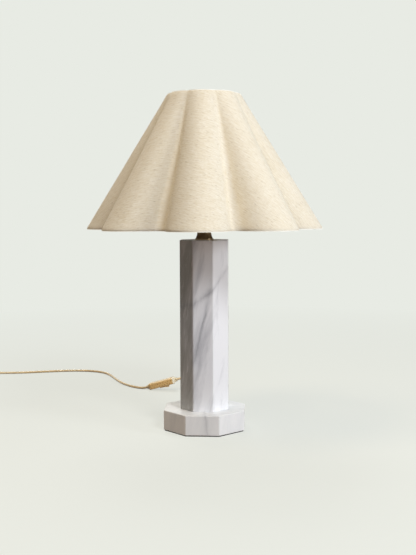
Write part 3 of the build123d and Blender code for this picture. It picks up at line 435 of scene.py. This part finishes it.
def golden(name, light, deep, rough, grain, painted_highlight=False):
    """Glossy plastic between two tones, with a skin of that grain and, if wanted, a painted highlight on the
    switch's lifted end.
    """
    material, shader, flow, place = finish(name, light, rough, Coat_Weight=0.3, Coat_Roughness=0.15)
    tone = flow.speckle(place, 0.045, 3.0)
    skin = ((tone - 0.3) * 2.2).held().mixed(light, deep)
    # Painted highlight: the lifted end of the switch turns pale cream near its tip.
    if painted_highlight:
        px, py, pz = place.parts()
        along_switch = px * SWITCH_ALONG.x + py * SWITCH_ALONG.y + pz * SWITCH_ALONG.z
        past = along_switch - (raised * MM).dot(SWITCH_ALONG) + HIGHLIGHT_REACH
        skin = (past * 2000).held().mixed(skin, HIGHLIGHT_CREAM)
    flow.join(shader.inputs["Base Color"], skin)
    wear = flow.speckle(place, 0.006, 3.0)
    flow.join(shader.inputs["Roughness"], rough - 0.06 + 0.14 * wear)
    relief(flow, shader, flow.speckle(place, grain, 2.0), 0.00006, 0.5)
    return material


cord_gold = golden("cord_gold", colour(255, 238, 196), colour(246, 212, 154), 0.28, 0.0022)
switch_gold = golden("switch_gold", colour(255, 222, 156), colour(250, 208, 134), 0.26, 0.0012, painted_highlight=True)
# The grip's dots are painted shade: the same plastic as the shell, a tone deeper, for the shade round each
# dot.
grip_gold_painted_shade = golden("grip_gold_painted_shade", colour(232, 184, 112), colour(214, 162, 90), 0.35, 0.0010)
plug_gold = golden("plug_gold", colour(222, 186, 132), colour(204, 162, 104), 0.45, 0.0012)
for lead in (lead_to_switch, lead_to_plug):
    lead.data.materials.append(cord_gold)
    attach(lead, "lamp")
dress(switch_gold, "switch_front_shell", "switch_back_shell", "switch_rocker")
dress(plug_gold, "plug_body", "plug_pin_sleeves", "cord_bush", "inner_cord")


# %% [markdown]
# The shade's outline follows a rule, so Geometry Nodes make it. Seen from above each petal is an arc,
# and neighbouring petals are joined by a small arc that bends the other way. The same pair of arcs,
# smaller, makes the top rim, and straight lines join the two rims. Two circles that touch fix the arcs:
# the petal's circle goes through the tip, and the fold's circle touches it and reaches in to the valley.

# %% Petal sizes
PETALS = 8
SHADE_FOOT, SHADE_HEIGHT = 335.5 * MM, 222.5 * MM
STEP = 2 * math.pi / PETALS


def petal(tip, valley, fold):
    """Centre and radius of a petal's circle, the angle where the fold begins, and the fold's circle."""
    half = STEP / 2
    reach = valley + fold
    lobe = (tip ** 2 + reach ** 2 - 2 * tip * reach * math.cos(half) - fold ** 2) / (
        2 * (fold + tip - reach * math.cos(half)))
    middle = tip - lobe
    joint = math.atan2(reach * math.sin(half), reach * math.cos(half) - middle)
    return {"middle": middle, "lobe": lobe, "joint": joint, "reach": reach, "fold": fold}


def half_petal(rim):
    """Length of the cloth from a petal's tip to the valley beside it."""
    return rim["lobe"] * rim["joint"] + rim["fold"] * (rim["joint"] - STEP / 2)


FOOT = petal(197.5 * MM, 149.5 * MM, 12 * MM)
HEAD = petal(60 * MM, 56.5 * MM, 8 * MM)
ARC_SHARE = FOOT["lobe"] * FOOT["joint"] / half_petal(FOOT)
ROUND_FOOT, ROUND_HEAD = 2 * PETALS * half_petal(FOOT), 2 * PETALS * half_petal(HEAD)
print("cloth round the foot", round(ROUND_FOOT, 3), "and round the top", round(ROUND_HEAD, 3))

# %% [markdown]
# The linen is one flat strip bent round, and glued in a lap at the back. Its threads are level at the
# front and lean more and more to the sides, as on any cone cut from flat cloth. The map that the weave
# is drawn with is therefore the flat pattern itself: a ring sector with the true lengths of both rims.

# %% Flat pattern
FLARE_SHARE = 0.92  # folds flare less than tips

tip_flare = FOOT["middle"] + FOOT["lobe"] - HEAD["middle"] - HEAD["lobe"]
SLANT = math.hypot(SHADE_HEIGHT, tip_flare * FLARE_SHARE)
RING_HEAD = SLANT * ROUND_HEAD / (ROUND_FOOT - ROUND_HEAD)
RING_ANGLE = ROUND_HEAD / RING_HEAD
FLAT_AREA = RING_ANGLE / 2 * ((RING_HEAD + SLANT) ** 2 - RING_HEAD ** 2)
print("flat area", round(FLAT_AREA, 4), "opens", round(math.degrees(RING_ANGLE)), "degrees")


# %% [markdown]
# Three forms are grown by Geometry Nodes: the shade, the screw threads and the grip's dots. Each tree
# takes its sizes as named inputs, so a size is changed in one table. It ends in real mesh with its finish,
# and the result is kept as a plain mesh.


# %% Inputs of a node tree
def grower(name, inputs):
    """A Geometry Nodes tree with named number inputs, its flow and its inputs."""
    tree = bpy.data.node_groups.new(name, "GeometryNodeTree")
    tree.is_modifier = True
    for label, value in inputs.items():
        kind = "NodeSocketInt" if isinstance(value, int) else "NodeSocketFloat"
        tree.interface.new_socket(label, in_out="INPUT", socket_type=kind)
    tree.interface.new_socket("Material", in_out="INPUT", socket_type="NodeSocketMaterial")
    tree.interface.new_socket("Geometry", in_out="OUTPUT", socket_type="NodeSocketGeometry")
    source = tree.nodes.new("NodeGroupInput")
    flow = Flow(tree)
    return tree, flow, {s.name: Flow(tree, s) for s in source.outputs if s.name}


def close(tree, flow, geometry, material):
    """Every tree ends the same way: real mesh, then its finish."""
    real = flow.node("GeometryNodeRealizeInstances", {}, {"Geometry": geometry})
    set_it = flow.node("GeometryNodeSetMaterial", {}, {"Geometry": real, "Material": material})
    result = tree.nodes.new("NodeGroupOutput")
    flow.join(result.inputs["Geometry"], set_it)


def grown(name, tree, values, material):
    """Run the tree on an empty mesh and keep the result as a plain mesh."""
    piece = bpy.data.objects.new(name, bpy.data.meshes.new(name))
    bpy.context.collection.objects.link(piece)
    modifier = piece.modifiers.new("grow", "NODES")
    modifier.node_group = tree
    keys = {i.name: i.identifier for i in tree.interface.items_tree if i.in_out == "INPUT"}
    for label, value in {**values, "Material": material}.items():
        modifier[keys[label]] = value
    depsgraph = bpy.context.evaluated_depsgraph_get()
    mesh = bpy.data.meshes.new_from_object(piece.evaluated_get(depsgraph), depsgraph=depsgraph)
    piece.modifiers.clear()
    piece.data = mesh
    mesh.name = name
    print(name, len(mesh.polygons), "faces")
    return piece


# %% [markdown]
# The cloth starts as a flat grid. Its columns run round the shade, u from 0 to 1, and its rows run over
# the cloth from one hem to the other, v from 0 to 1. "Level at" is the place round the shade where the
# threads lie level, which is the front.

# %% Shade tree
shade_sizes = {
    "Petals": PETALS, "Columns per petal": 44, "Rows": 72, "Foot height": SHADE_FOOT, "Height": SHADE_HEIGHT,
    "Arc share": ARC_SHARE, "Roll radius": 3.0 * MM, "Hem": 9.0 * MM, "Hem lean": 3.5 * MM,
    "Hem mark": 0.35 * MM, "Lap": 9.0 * MM, "Unevenness": 1.6 * MM, "Flat head": RING_HEAD,
    "Flat slant": SLANT, "Flat angle": RING_ANGLE, "Level at": 0.375,
}
for end, facts in (("Foot", FOOT), ("Head", HEAD)):
    shade_sizes.update({f"{end} {k}": v for k, v in facts.items()})
shade_tree, flow, size = grower("petal_shade", shade_sizes)

columns = size["Petals"] * size["Columns per petal"] + 1
grid = flow.node("GeometryNodeMeshGrid", {}, {
    "Size X": 1.0, "Size Y": 1.0, "Vertices X": columns, "Vertices Y": size["Rows"]})
u, v, _ = flow.node("GeometryNodeInputPosition").parts()
u, v = u + 0.5, v + 0.5
print("shade columns", PETALS * shade_sizes["Columns per petal"] + 1)

# %% [markdown]
# Each row of the grid is one place along the cloth, from the hem inside the foot, round the wire in the
# rim, up the outside, round the top wire and down inside again. Past the wire the hem leans back on the
# lining, where it is glued. Two numbers say where a row is: how far it lies inside the outline, and how
# high it is.

# %% Rows
HEM_ROWS, ROLL_ROWS = 0.08, 0.1
WALL_FROM = HEM_ROWS + ROLL_ROWS
WALL_TO = 1 - WALL_FROM

up_hem = (v / HEM_ROWS).held()
foot_roll = math.pi * (1 - ((v - HEM_ROWS) / ROLL_ROWS).held())
wall = ((v - WALL_FROM) / (WALL_TO - WALL_FROM)).held()
head_roll = math.pi * ((v - WALL_TO) / ROLL_ROWS).held()
down_hem = ((v - (WALL_TO + ROLL_ROWS)) / HEM_ROWS).held()
roll = size["Roll radius"]
inside = roll * (2 - flow.math("COSINE", foot_roll) - flow.math("COSINE", head_roll))
inside = inside - size["Hem lean"] * (1 - up_hem + down_hem)
rise = roll + wall * (size["Height"] - 2 * roll)
rise = rise - roll * flow.math("SINE", foot_roll) + roll * flow.math("SINE", head_roll)
rise = rise + size["Hem"] * (1 - up_hem) - size["Hem"] * down_hem

print("the wall takes", round(WALL_TO - WALL_FROM, 2), "of the rows")

# %% [markdown]
# No shade is perfect. The hems show through the linen as low steps, the lap at the back is twice as thick,
# and the whole cloth swells in and out by less than a millimetre.

# %% Small marks of handwork
FOOT_HEM_SHOWS, HEAD_HEM_SHOWS, STEP_WIDTH = 7 * MM, 8 * MM, 1.5 * MM
LAP_THICKNESS = 0.45 * MM
SWELLS_ROUND, SWELLS_PER_METRE = 14, 9

outside = flow.math("LESS_THAN", inside, 0.1 * MM)
over_foot_hem = (1 - (rise - FOOT_HEM_SHOWS) / STEP_WIDTH).held()
over_head_hem = (1 - (size["Height"] - HEAD_HEM_SHOWS - rise) / STEP_WIDTH).held()
proud = size["Hem mark"] * (over_foot_hem + over_head_hem)
proud = proud + LAP_THICKNESS * flow.math("LESS_THAN", u * ROUND_FOOT, size["Lap"])
wobble = flow.speckle(flow.vector(u * SWELLS_ROUND, rise * SWELLS_PER_METRE, 3.7), 1.0, 2.0) - 0.5
inside = inside - outside * proud - size["Unevenness"] * wobble
print("lap", shade_sizes["Lap"], "m wide")

# %% [markdown]
# A column is a place round the outline. Within its petal it lies on the petal's arc or, past the share of
# the cloth that the arc takes, on the fold's arc. Each rim gives one place, and the height mixes the two.

# %% Columns
FIRST_TIP = math.radians(135)

turns = u * size["Petals"]
which = flow.math("FLOOR", flow.math("MINIMUM", turns, size["Petals"] - 0.0001))
across = (turns - which) * 2 - 1
off_tip = abs(across)
on_fold = flow.math("GREATER_THAN", off_tip, size["Arc share"])
along_arc = (off_tip / size["Arc share"]).held()
along_fold = ((off_tip - size["Arc share"]) / (1 - size["Arc share"])).held()
half = math.pi / size["Petals"]


def outline(end):
    """Place in the petal's own plane, tip along X, for one rim."""
    middle, lobe, joint = size[f"{end} middle"], size[f"{end} lobe"] - inside, size[f"{end} joint"]
    reach, fold = size[f"{end} reach"], size[f"{end} fold"] + inside
    angle = joint * along_arc
    turn = joint + math.pi - along_fold * (joint - half)
    arc_x = middle + lobe * flow.math("COSINE", angle)
    arc_y = lobe * flow.math("SINE", angle)
    fold_x = reach * flow.math("COSINE", half) + fold * flow.math("COSINE", turn)
    fold_y = reach * flow.math("SINE", half) + fold * flow.math("SINE", turn)
    x = arc_x + on_fold * (fold_x - arc_x)
    y = arc_y + on_fold * (fold_y - arc_y)
    return x, y * flow.math("SIGN", across)


foot_x, foot_y = outline("Foot")
head_x, head_y = outline("Head")
share = rise / size["Height"]
x = foot_x + share * (head_x - foot_x)
y = foot_y + share * (head_y - foot_y)
turn = FIRST_TIP + which * (2 * half)
cosine, sine = flow.math("COSINE", turn), flow.math("SINE", turn)
spot = flow.vector(x * cosine - y * sine, x * sine + y * cosine, size["Foot height"] + rise)
print("first tip at", round(math.degrees(FIRST_TIP)), "degrees")

# %% [markdown]
# The grid keeps its place on the flat pattern as its map, then bends into the shade. The two ends of the
# strip meet at the back and are joined there.

# %% Map of the flat pattern
fan = (u - size["Level at"]) * size["Flat angle"]
from_apex = size["Flat head"] + (1 - share) * size["Flat slant"]
pattern = flow.vector(from_apex * flow.math("SINE", fan), 0 - from_apex * flow.math("COSINE", fan), 0.0)
mapped = flow.node("GeometryNodeStoreNamedAttribute", {"data_type": "FLOAT2", "domain": "CORNER"},
                   {"Geometry": grid, "Name": "UVMap", "Value": pattern})
bent = flow.node("GeometryNodeSetPosition", {}, {"Geometry": mapped, "Position": spot})
joined = flow.node("GeometryNodeMergeByDistance", {}, {"Geometry": bent, "Distance": 0.02 * MM})
smooth = flow.node("GeometryNodeSetShadeSmooth", {}, {"Geometry": joined, "Shade Smooth": True})
close(shade_tree, flow, smooth, size["Material"])
print("shade tree", len(shade_tree.nodes), "nodes")

# %% [markdown]
# Linen. The cloth is plain weave in natural flax: thick and thin threads, so it shows level streaks one or
# two centimetres long, and single darker slubs. The streaks come from noise that is stretched along the
# threads of the flat pattern, the weave from two fine waves, one for each set of threads. A woven look
# from a small repeating tile would be simpler, but the repeats would show on so large a shade.

# %% Linen finish
WEFT_PITCH, WARP_PITCH = 0.75 * MM, 0.85 * MM

linen, shader, flow, _ = finish("linen", colour(233, 223, 203), 0.9, Sheen_Weight=0.04, Sheen_Roughness=0.5)
weave_place = flow.node("ShaderNodeUVMap", {"uv_map": "UVMap"})
along, down, _ = weave_place.parts()


def threads(length, height, layer, detail=2.0, rough=0.5):
    """Soft random values in grains of that length and height, in millimetres, on the flat pattern."""
    return flow.speckle(flow.vector(along / (length * MM), down / (height * MM), layer), 1.0, detail, rough)


streak = threads(18.0, 1.6, 0.0)
fine = threads(6.0, 1.1, 5.0)
upright = threads(1.2, 12.0, 9.0)
slub = ((threads(8.5, 1.4, 2.0, 1.0, 0.4) - 0.62) * 8).held()
cloud = flow.speckle(flow.vector(along, down, 7.0), 0.06, 2.0)
tone = 0.6 + 0.9 * (streak - 0.5) + 0.8 * (fine - 0.5) + 0.3 * (upright - 0.5) + 0.2 * (cloud - 0.5)
ground_tone = tone.held().mixed(colour(210, 195, 162), colour(243, 238, 226))
flow.join(shader.inputs["Base Color"], (slub * 0.35).mixed(ground_tone, colour(150, 126, 90)))
weft = flow.math("SINE", down * (2 * math.pi / WEFT_PITCH))
warp = flow.math("SINE", along * (2 * math.pi / WARP_PITCH))
thread = 0.2 * weft * warp + 0.25 * streak + 0.25 * fine + 0.3 * slub
relief(flow, shader, thread, 0.3 * MM, 0.32)
print("linen", len(linen.node_tree.nodes), "nodes")

# %% [markdown]
# The cover takes the place of the plain solid and turns with the shade. The tree makes it without
# thickness, and a Solidify modifier adds that on the inner side, so the outline stays where it is. Its flat
# size is worked out as the strip with both hems, stretched over the two wires.

# %% Shade cover
CLOTH_THICKNESS = 0.6 * MM
HEMS = 30 * MM
HEM_ROUND_SHARE = 0.6  # mean length of the two rims against the foot's

shade_cover = grown("shade_cover", shade_tree, shade_sizes, linen)
thick = shade_cover.modifiers.new("cloth", "SOLIDIFY")
thick.thickness = CLOTH_THICKNESS
thick.offset = -1
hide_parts("shade_linen")
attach(shade_cover, "shade")
strip_height = SLANT + HEMS
strip_area = min(FLAT_AREA + HEMS * ROUND_FOOT * HEM_ROUND_SHARE, ROUND_FOOT * strip_height)

# %% [markdown]
# Marble. Column and plinth are honed white marble. Grey clouds run up through it, long and narrow, and a
# few darker veins cross it on a slant. The column's left faces get painted shade in a grey-green tone.
# A vein is a sheet in the stone, so it is drawn as the distance to a plane, bent by noise, and it fades
# above, below and to the right. That way it runs on correctly round the corner from one face to the next.


# %% Marble finish
GRAIN_TURN = (0.0, math.atan2(0.23, 0.97), 0.0)
# Painted shade: left of this edge the column's faces are painted a grey-green shade.
PAINTED_SHADE_EDGE, PAINTED_SHADE_GREY = -16.5 * MM, colour(122, 118, 104)
VEINS_WEAKEN, VEIN_GREY = 12 * MM, colour(112, 112, 122)
THREAD_WHITE, CRYSTAL_WHITE = colour(244, 244, 248), colour(250, 250, 252)


def marble(name, veins, light, dark, lean, left_shade=0.0):
    """White stone whose clouds get thinner to the right by lean, with painted grey-green shade on its left
    side.
    """
    material, shader, flow, place = finish(name, light, 0.38, Coat_Weight=0.1)
    drift = flow.speckle(place.stretched(1.0, 1.0, 6.0, GRAIN_TURN), 0.020, 4.0, 0.6, 0.4)
    px, py, pz = place.parts()
    cloud = ((drift - 0.40 - lean * px) * 3.0).held()
    base = (cloud * 0.8).mixed(light, dark)
    # Painted shade over the left faces, blotched by the clouds.
    painted_left_shade = ((PAINTED_SHADE_EDGE - px) * 400).held() * left_shade * (0.45 + 0.9 * (drift - 0.3)).held()
    base = painted_left_shade.mixed(base, PAINTED_SHADE_GREY)
    bend = flow.speckle(place, 0.035, 4.0, 0.6) - 0.5
    for (nx, ny, nz, offset, width, strength, waves, middle, reach) in veins:
        gap = abs(px * nx + py * ny + pz * nz - offset + waves * bend)
        line = (1 - gap / width).held()
        fading = ((1 - abs(pz - middle) / reach) * 2.5).held()
        fading = fading * (1 - 0.65 * ((px - VEINS_WEAKEN) * 60).held())
        line = line * line * fading * strength * ((drift - 0.15) * 2.0).held()
        base = line.mixed(base, VEIN_GREY)
    thin = flow.speckle(place.stretched(1.0, 1.0, 9.0, GRAIN_TURN), 0.006, 4.0, 0.6, 0.3)
    thread = ((thin - 0.56) * 8).held()
    base = (thread * 0.35).mixed(base, THREAD_WHITE)
    crystal = flow.speckle(place, 0.0012, 2.0, 0.6)
    base = (0.18 * crystal).mixed(base, CRYSTAL_WHITE)
    flow.join(shader.inputs["Base Color"], base)
    flow.join(shader.inputs["Roughness"], 0.3 + 0.12 * crystal + 0.06 * cloud)
    relief(flow, shader, crystal, 0.00003, 0.4)
    return material


# %% [markdown]
# Each vein is a row of numbers: the three parts of its plane's normal, the plane's distance from the
# origin, the vein's width, its strength, how far it waves, and the height where it is and how far it
# reaches up and down from there. Two cross the column's front, one the plinth's.

# %% Veins
COLUMN_VEINS = [
    (-0.547, -0.456, 0.702, 0.1758, 0.0085, 0.75, 0.014, 0.235, 0.09),
    (-0.96, 0.15, 0.225, 0.0345, 0.0050, 0.65, 0.010, 0.163, 0.055),
]
PLINTH_VEINS = [(0.97, 0.1, 0.2, 0.004, 0.007, 0.35, 0.012, 0.02, 0.1)]
column_marble = marble("column_marble", COLUMN_VEINS, colour(246, 246, 249), colour(182, 182, 188), 6.0, 1.0)
plinth_marble = marble("plinth_marble", PLINTH_VEINS, colour(248, 248, 247), colour(230, 231, 232), 0.5)
dress(column_marble, "column")
dress(plinth_marble, "plinth")

# %% [markdown]
# Metals. Plated and polished parts are metallic with a fine brushed grain, which is noise stretched far
# in both level directions, so the marks run round a turned part. The bell between the column and the
# lampholder is dark bronze, in stains of a lighter and a darker tone.


# %% Metal finishes
def metal(name, bright, dull, rough, grain=0.0008, length=30.0):
    """Metal between two tones, with level brush marks in grains of that size, that many times as long."""
    material, shader, flow, place = finish(name, bright, rough, 1.0)
    brushed = flow.speckle(place.stretched(length, length, 1.0), grain, 3.0)
    stain = flow.speckle(place, 0.012, 3.0)
    flow.join(shader.inputs["Base Color"], (0.6 * stain + 0.3 * brushed).held().mixed(bright, dull))
    flow.join(shader.inputs["Roughness"], rough - 0.05 + 0.15 * brushed)
    relief(flow, shader, brushed, 0.00002, 0.3)
    return material


steel = metal("zinc_plated_steel", colour(196, 197, 200), colour(160, 162, 168), 0.34)
brass = metal("contact_brass", colour(222, 190, 112), colour(186, 148, 78), 0.28)
nickel = metal("nickel_pins", colour(214, 208, 196), colour(186, 180, 168), 0.22)
rolled = metal("rolled_aluminium", colour(206, 206, 208), colour(170, 170, 174), 0.3)
bronze = metal("dark_bronze", colour(150, 130, 100), colour(86, 70, 52), 0.28, 0.0016, 4.0)
dress(steel, "bottom_washer", "lock_washer", "bottom_nut", "top_washer", "top_nut", "threaded_rod",
      "rocker_pin", "switch_screws")
dress(brass, "screw_shell", "centre_contact", "holder_terminals", "switch_contacts")
dress(nickel, "plug_pins")
dress(rolled, "bulb_cap")
dress(bronze, "column_cap")


# %% [markdown]
# Moulded and coated parts: brown bakelite, pale sleeves, white wire, laminate, ceramic and felt. Even
# plain plastic is never quite even, so each has a slow change of tone, a little wear in its gloss and a
# skin, all at its own scale.

# %% Moulded finishes
def moulded(name, light, deep, rough, patch, grain, depth, **constants):
    """A finish with tones in patches and a skin in grains of those sizes."""
    material, shader, flow, place = finish(name, light, rough, **constants)
    tone = ((flow.speckle(place, patch, 3.0) - 0.3) * 2.0).held()
    flow.join(shader.inputs["Base Color"], tone.mixed(light, deep))
    skin = flow.speckle(place, grain, 3.0, 0.6)
    flow.join(shader.inputs["Roughness"], rough - 0.08 + 0.16 * skin)
    relief(flow, shader, skin, depth, 0.6)
    return material


bakelite = moulded("brown_bakelite", colour(58, 38, 24), colour(34, 20, 12), 0.3, 0.02, 0.003, 0.00003,
                   Coat_Weight=0.2)
cream = moulded("pale_sleeve", colour(247, 238, 212), colour(238, 222, 186), 0.4, 0.01, 0.0012, 0.00004)
coated = moulded("white_coated_wire", colour(236, 235, 230), colour(222, 220, 212), 0.4, 0.02, 0.002, 0.00006)
laminate = moulded("white_laminate", colour(240, 238, 230), colour(229, 225, 213), 0.55, 0.05, 0.0012,
                   0.00006)
ceramic = moulded("unglazed_ceramic", colour(236, 233, 224), colour(222, 217, 204), 0.7, 0.008, 0.0008,
                  0.00005)
strap = moulded("soft_strap", colour(232, 231, 224), colour(218, 216, 206), 0.6, 0.01, 0.0015, 0.00005)
brown_core = moulded("brown_core", colour(132, 82, 52), colour(104, 60, 36), 0.4, 0.01, 0.001, 0.00002)
black_glass = moulded("black_glass_foot", colour(26, 25, 26), colour(14, 14, 15), 0.12, 0.006, 0.003, 0.00002)
frosted = moulded("frosted_glass", colour(246, 245, 240), colour(238, 236, 228), 0.32, 0.03, 0.0006, 0.00002,
                  Transmission_Weight=0.35)
felt = moulded("pressed_felt", colour(66, 66, 68), colour(44, 44, 46), 0.95, 0.004, 0.0005, 0.0004)
dress(bakelite, "holder_dome", "holder_sleeve", "lower_shade_ring", "upper_shade_ring")
dress(cream, "switch_sleeves")
dress(coated, "bottom_wire", "top_wire", "fitter_ring", "spider_arms")
dress(laminate, "shade_lining")
dress(ceramic, "holder_insert")
dress(strap, "cord_tie")
dress(brown_core, "core_wires", "switch_leads")
dress(black_glass, "bulb_tip")
dress(frosted, "bulb_glass")
dress(felt, "felt_pad")

# %% [markdown]
# Screw threads. The lampholder's sleeve and the bulb's cap carry threads. A thread is a helix, so a
# spiral with a small round profile is swept in Geometry Nodes and lies half sunk in its wall. Relief in
# the shader would be cheaper, but its outline would stay straight.

# %% Thread tree
thread_sizes = {"Radius": 0.019, "Pitch": 0.002, "Turns": 4.0, "Foot": 0.0, "Ridge": 0.0005,
                "Steps per turn": 40}
thread_tree, flow, size = grower("screw_thread", thread_sizes)
spiral = flow.node("GeometryNodeCurveSpiral", {}, {
    "Resolution": size["Steps per turn"], "Rotations": size["Turns"], "Start Radius": size["Radius"],
    "End Radius": size["Radius"], "Height": size["Turns"] * size["Pitch"]})
profile = flow.node("GeometryNodeCurvePrimitiveCircle", {}, {"Resolution": 6, "Radius": size["Ridge"]})
ridge = flow.node("GeometryNodeCurveToMesh", {}, {
    "Curve": spiral, "Profile Curve": profile, "Fill Caps": True})
raised_ridge = flow.node("GeometryNodeTransform", {}, {
    "Geometry": ridge, "Translation": flow.vector(0.0, 0.0, size["Foot"])})
round_ridge = flow.node("GeometryNodeSetShadeSmooth", {}, {"Geometry": raised_ridge, "Shade Smooth": True})
close(thread_tree, flow, round_ridge, size["Material"])
print("thread tree", len(thread_tree.nodes), "nodes")

# %% [markdown]
# The holder's thread shows below and above its clamping rings. The bulb's is coarser and turns with it.

# %% Threads
BULB_THREAD = {"Radius": 0.0129, "Pitch": 0.0036, "Turns": 4.4, "Foot": 0.3672, "Ridge": 0.0007}
THREADS = {
    "holder_thread_low": ({"Radius": 0.01945, "Turns": 1.6, "Foot": 0.3550}, bakelite, "lamp", "bakelite"),
    "holder_thread_high": ({"Radius": 0.01945, "Turns": 5.6, "Foot": 0.3768}, bakelite, "lamp", "bakelite"),
    "bulb_thread": (BULB_THREAD, rolled, "bulb", "bulb_metal"),
}
for name, (changes, material, body, slot) in THREADS.items():
    thread = grown(name, thread_tree, {**thread_sizes, **changes}, material)
    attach(thread, body)

# %% [markdown]
# The switch's grip. Its side walls have two rows of small raised dots, so that fingers hold it. One dot,
# a low cone with a few faces, is set on every point of a grid, every second row shifted by half a step.

# %% Grip tree
grip_sizes = {"Length": 0.0385, "Width": 0.0044, "Along": 8, "Across": 2, "Dot": 0.0012, "Rise": 0.0006}
grip_tree, flow, size = grower("grip_dots", grip_sizes)
points = flow.node("GeometryNodeMeshGrid", {}, {
    "Size X": size["Length"], "Size Y": size["Width"], "Vertices X": size["Along"],
    "Vertices Y": size["Across"]})
row = flow.math("MODULO", flow.node("GeometryNodeInputIndex"), size["Across"])
odd = flow.math("MODULO", row, 2.0)
shift = flow.vector(odd * size["Length"] / (size["Along"] - 1) * 0.5, 0.0, 0.0)
staggered = flow.node("GeometryNodeSetPosition", {}, {"Geometry": points, "Offset": shift})
dot = flow.node("GeometryNodeMeshCone", {"fill_type": "NGON"}, {
    "Vertices": 8, "Side Segments": 1, "Radius Top": size["Dot"] * 0.45, "Radius Bottom": size["Dot"],
    "Depth": size["Rise"]})
dots = flow.node("GeometryNodeInstanceOnPoints", {}, {"Points": staggered, "Instance": dot})
close(grip_tree, flow, dots, size["Material"])
print("grip tree", len(grip_tree.nodes), "nodes")

# %% [markdown]
# The dots are grown flat and then laid on both side walls, with Z outwards and X along the switch.

# %% Grip
HALF_SWITCH_WIDTH = 11.0
GRIP_SHIFT = 1.5

switch_middle = (raised + lowered) / 2
for name, side in (("grip_front", 1), ("grip_back", -1)):
    grip = grown(name, grip_tree, grip_sizes, grip_gold_painted_shade)
    outwards = SWITCH_ACROSS * side
    local = Matrix((SWITCH_ALONG, outwards.cross(SWITCH_ALONG), outwards)).transposed().to_4x4()
    wall_spot = (switch_middle + outwards * HALF_SWITCH_WIDTH - SWITCH_ALONG * GRIP_SHIFT) * MM
    grip.data.transform(Matrix.Translation(wall_spot) @ local)
    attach(grip, "lamp")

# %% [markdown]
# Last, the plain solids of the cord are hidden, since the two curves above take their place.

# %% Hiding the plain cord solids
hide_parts("cord_to_switch")
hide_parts("cord_to_coil", "cord_coil", "cord_to_plug")
